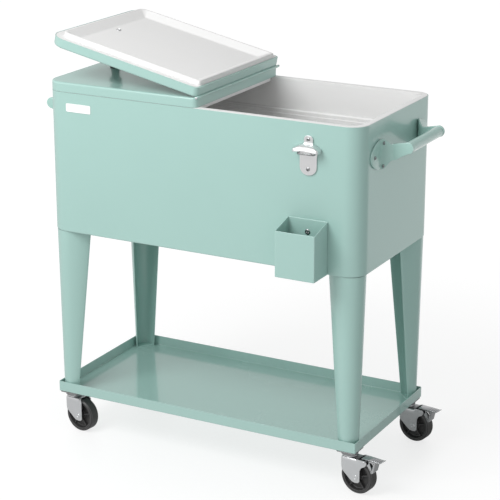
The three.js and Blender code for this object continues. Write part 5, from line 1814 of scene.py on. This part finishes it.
class COOLER_OT_casters(CoolerOperator, bpy.types.Operator):
    """Builds the caster plates, forks, wheels and brake pedals"""

    bl_idname = "cooler.casters"
    bl_label = "Casters"

    def execute(self, context):
        c = context.scene.cooler_casters
        for name, sx, sy in CORNERS:
            at = Matrix.Translation((sx * c.x, TUB_Y + sy * c.y, 0))
            swung = at @ Matrix.Rotation(c.yaw, 4, "Z")
            braked = sx > 0
            # Plates, races and bolts take the dark steel: painted shade under the shelf
            piece(f"{name}_top_plate", all_moved(caster_plate(c), at), "dark_steel_and_painted_shade", "cabinet",
                  f"{name}_caster_plate")
            shell = piece(f"{name}_fork_shell", [moved(fork_shell(c, braked), swung)],
                          "zinc_plate", f"{name}_caster", f"{name}_fork")
            walled(shell, c.fork_sheet, FORK_EDGE)
            piece(f"{name}_fork_pins", all_moved(fork_fittings(c, braked), swung), "zinc_plate",
                  f"{name}_caster")
            piece(f"{name}_roller", all_moved(wheel_parts(c), swung), "wheel_plastic",
                  f"{name}_wheel", f"{name}_wheel")
            if braked:
                piece(f"{name}_brake_pedal", all_moved(pedal_parts(c), swung), "pedal_plate",
                      f"{name}_brake", f"{name}_pedal")
        return {"FINISHED"}


# Place along Y, height and lift off the flange of each screw, in millimetres
HANDLE_SCREW_PLACES = ((101.0, 815.5, 3.2), (140.0, 790.0, 0.0), (102.5, 763.5, 3.0))


class COOLER_OT_handles(CoolerOperator, bpy.types.Operator):
    """Builds the side handles with their brackets, grips and screws"""

    bl_idname = "cooler.handles"
    bl_label = "Side handles"

    def execute(self, context):
        h, fittings = context.scene.cooler_handles, context.scene.cooler_fittings
        bracket, grip = handle_bracket(h), grip_bar(h)
        screw = along_x(screw_head(fittings.screw, fittings.screw_height))
        face = TUB_HALF_X + h.flange + 2 * GAP
        for end, sx in (("left", -1), ("right", 1)):
            piece(f"{end}_grip", [mirrored(grip, sx, 1)], "handle_coat", "cabinet",
                  f"{end}_handle_grip")
            for side, sy in (("front", -1), ("back", 1)):
                name = f"{end}_handle_{side}"
                own = placed(mirrored(bracket, sx, sy), y=TUB_Y)
                piece(f"{name}_arm", [own], "handle_coat", "cabinet", f"{name}_bracket")
                for number, (y, z, lift) in enumerate(HANDLE_SCREW_PLACES, 1):
                    head = placed(screw, face + lift * MM, y * MM, z * MM)
                    head = placed(mirrored(head, sx, sy), y=TUB_Y)
                    piece(f"{name}_head_{number}", [head], "dark_steel_and_painted_shade", "cabinet",
                          f"{name}_screw_{number}")
        return {"FINISHED"}


OPENER_SCREW_HEIGHTS = (830.0, 763.0)
CATCHER_SCREW_HEIGHT = 619.0


class COOLER_OT_fittings(CoolerOperator, bpy.types.Operator):
    """Builds the bottle opener, the cap catcher and the blank name plate"""

    bl_idname = "cooler.fittings"
    bl_label = "Opener and catcher"

    def execute(self, context):
        o = context.scene.cooler_fittings
        piece("opener_plate", opener_parts(o), "satin_steel", "cabinet", "bottle_opener")
        # The tongue takes the dark steel: painted shade under the hood
        piece("opener_lip", [opener_inner_lip(o)], "dark_steel_and_painted_shade", "cabinet", slot="opener_steel")
        hood = piece("opener_hood", [opener_hood(o)], "polished_steel", "cabinet")
        walled(hood, HOOD_SHEET, HOOD_EDGE)
        piece("catcher_box", [catcher_surface(o)], "mint_coat", "cabinet", "cap_catcher")
        piece("blank_name_plate", name_plate_parts(o), "label_white", "cabinet", "name_plate")
        heads = [(f"opener_head_{n}", f"opener_screw_{n}", z, o.plate, o.screw)
                 for n, z in enumerate(OPENER_SCREW_HEIGHTS, 1)]
        heads.append(
            ("catcher_head", "catcher_screw", CATCHER_SCREW_HEIGHT, o.catcher_sheet, o.pan))
        for name, node, z, depth, radius in heads:
            head = on_front(screw_head(radius, o.screw_height), o.opener_x, FRONT - depth, z * MM)
            piece(name, [head], "dark_steel_and_painted_shade", "cabinet", node)
        return {"FINISHED"}


class COOLER_OT_foam(CoolerOperator, bpy.types.Operator):
    """Gives the carried-over foam blocks their finish"""

    bl_idname = "cooler.foam"
    bl_label = "Foam"

    def execute(self, context):
        foam = finish("insulation_foam")
        for node in ("tub_foam", "left_lid_foam", "right_lid_foam"):
            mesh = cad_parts[node].data
            mesh.materials.clear()
            mesh.materials.append(foam)
        return {"FINISHED"}


class COOLER_OT_stage(CoolerOperator, bpy.types.Operator):
    """Builds the floor, the studio light and the camera"""

    bl_idname = "cooler.stage"
    bl_label = "Stage"

    def execute(self, context):
        scene = context.scene
        add_floor()
        add_light(scene, scene.cooler_finishes)
        add_camera(scene)
        scene.view_settings.view_transform = "Standard"
        return {"FINISHED"}


FLOOR_RADIUS, FLOOR_RINGS, FLOOR_SEGMENTS = 40.0, 24, 64
CAMERA_PLACE = (1.91308, -3.48739, 1.76497)
CAMERA_TURN = (72.167, 0.0, 28.159)
CAMERA_LENS = 125.346
CAMERA_SENSOR = 36.0
LAMP_PLACE = (-0.6, -1.85, 2.4)
LAMP_AIM = (0.05, 0.0, 0.6)
LAMP_SIZE = 1.6
SKY_BRIGHT_SIDE = (-0.15, -0.5, -0.5)
SKY_SIDE_SHARE = 0.3


def add_floor():
    """A disc whose rings grow with the square of their number."""
    share = np.linspace(0, 1, FLOOR_RINGS)[:, None] ** 2
    angle = np.linspace(0, 2 * math.pi, FLOOR_SEGMENTS, endpoint=False)[None]
    radius = FLOOR_RADIUS * share
    x, y = radius * np.cos(angle), radius * np.sin(angle)
    disc = surface(np.stack([x, y, np.zeros_like(x)], -1))
    floor = shown("floor", merged_mesh("floor", [disc]), "studio_floor")


def add_light(scene, f):
    """Large soft lamp at the upper front left and a sky that is brighter low on that side."""
    key = bpy.data.lights.new("lamp", "AREA")
    key.energy = f.lamp
    key.shape = "DISK"
    key.size = LAMP_SIZE
    lamp = bpy.data.objects.new("lamp", key)
    lamp.location = LAMP_PLACE
    aim = Vector(LAMP_AIM) - Vector(LAMP_PLACE)
    lamp.rotation_euler = aim.to_track_quat("-Z", "Y").to_euler()
    scene.collection.objects.link(lamp)
    world = bpy.data.worlds.new("studio")
    world.use_nodes = True
    tree = world.node_tree
    place = new_node(tree, "TexCoord").outputs["Generated"]
    lean = new_node(tree, "VectorMath", {0: place, 1: SKY_BRIGHT_SIDE}, operation="DOT_PRODUCT")
    side = times(tree, lean.outputs["Value"], SKY_SIDE_SHARE)
    even = times(tree, plus(tree, side, 1.0), f.sky)
    _, _, z = new_node(tree, "SeparateXYZ", {0: place}).outputs
    height = math_node(tree, "ABSOLUTE", z)
    low = minus(tree, 1.0, times(tree, height, 2.0), clamp=True)
    power = plus(tree, even, times(tree, low, f.horizon))
    fill(tree, tree.nodes["Background"], {"Strength": power, "Color": WHITE})
    scene.world = world


def add_camera(scene):
    """The camera at the photograph's angle."""
    data = bpy.data.cameras.new("view")
    data.lens = CAMERA_LENS
    data.sensor_width = CAMERA_SENSOR
    camera = bpy.data.objects.new("view", data)
    camera.location = CAMERA_PLACE
    camera.rotation_euler = tuple(math.radians(a) for a in CAMERA_TURN)
    scene.collection.objects.link(camera)
    scene.camera = camera


class COOLER_PT_panel(bpy.types.Panel):
    """Lists the cooler's builders and sizes"""

    bl_idname = "COOLER_PT_panel"
    bl_label = "Rolling patio cooler"
    bl_space_type = "VIEW_3D"
    bl_region_type = "UI"
    bl_category = "Cooler"

    def draw(self, context):
        for operator in OPERATORS:
            self.layout.operator(operator.bl_idname)
        for label in SETTINGS:
            box = self.layout.box()
            box.label(text=label.replace("_", " "))
            group = getattr(context.scene, label)
            for key in group.__annotations__:
                box.prop(group, key)


SETTINGS = {
    "cooler_tub": TubSizes,
    "cooler_drain": DrainSizes,
    "cooler_lids": LidSizes,
    "cooler_stand": StandSizes,
    "cooler_casters": CasterSizes,
    "cooler_handles": HandleSizes,
    "cooler_fittings": FittingSizes,
    "cooler_finishes": Finishes,
}
OPERATORS = (
    COOLER_OT_tub,
    COOLER_OT_lids,
    COOLER_OT_stand,
    COOLER_OT_casters,
    COOLER_OT_handles,
    COOLER_OT_fittings,
    COOLER_OT_foam,
    COOLER_OT_stage,
)


def register():
    """Adds the classes and the scene's settings."""
    for kind in (*SETTINGS.values(), *OPERATORS, COOLER_PT_panel):
        bpy.utils.register_class(kind)
    for label, kind in SETTINGS.items():
        setattr(bpy.types.Scene, label, PointerProperty(type=kind))


def unregister():
    """Takes them away again."""
    for label in SETTINGS:
        delattr(bpy.types.Scene, label)
    for kind in reversed((*SETTINGS.values(), *OPERATORS, COOLER_PT_panel)):
        bpy.utils.unregister_class(kind)


def main():
    """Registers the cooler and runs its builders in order."""
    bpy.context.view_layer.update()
    register()
    for operator in OPERATORS:
        group, name = operator.bl_idname.split(".")
        getattr(getattr(bpy.ops, group), name)()


if __name__ == "__main__":
    main()
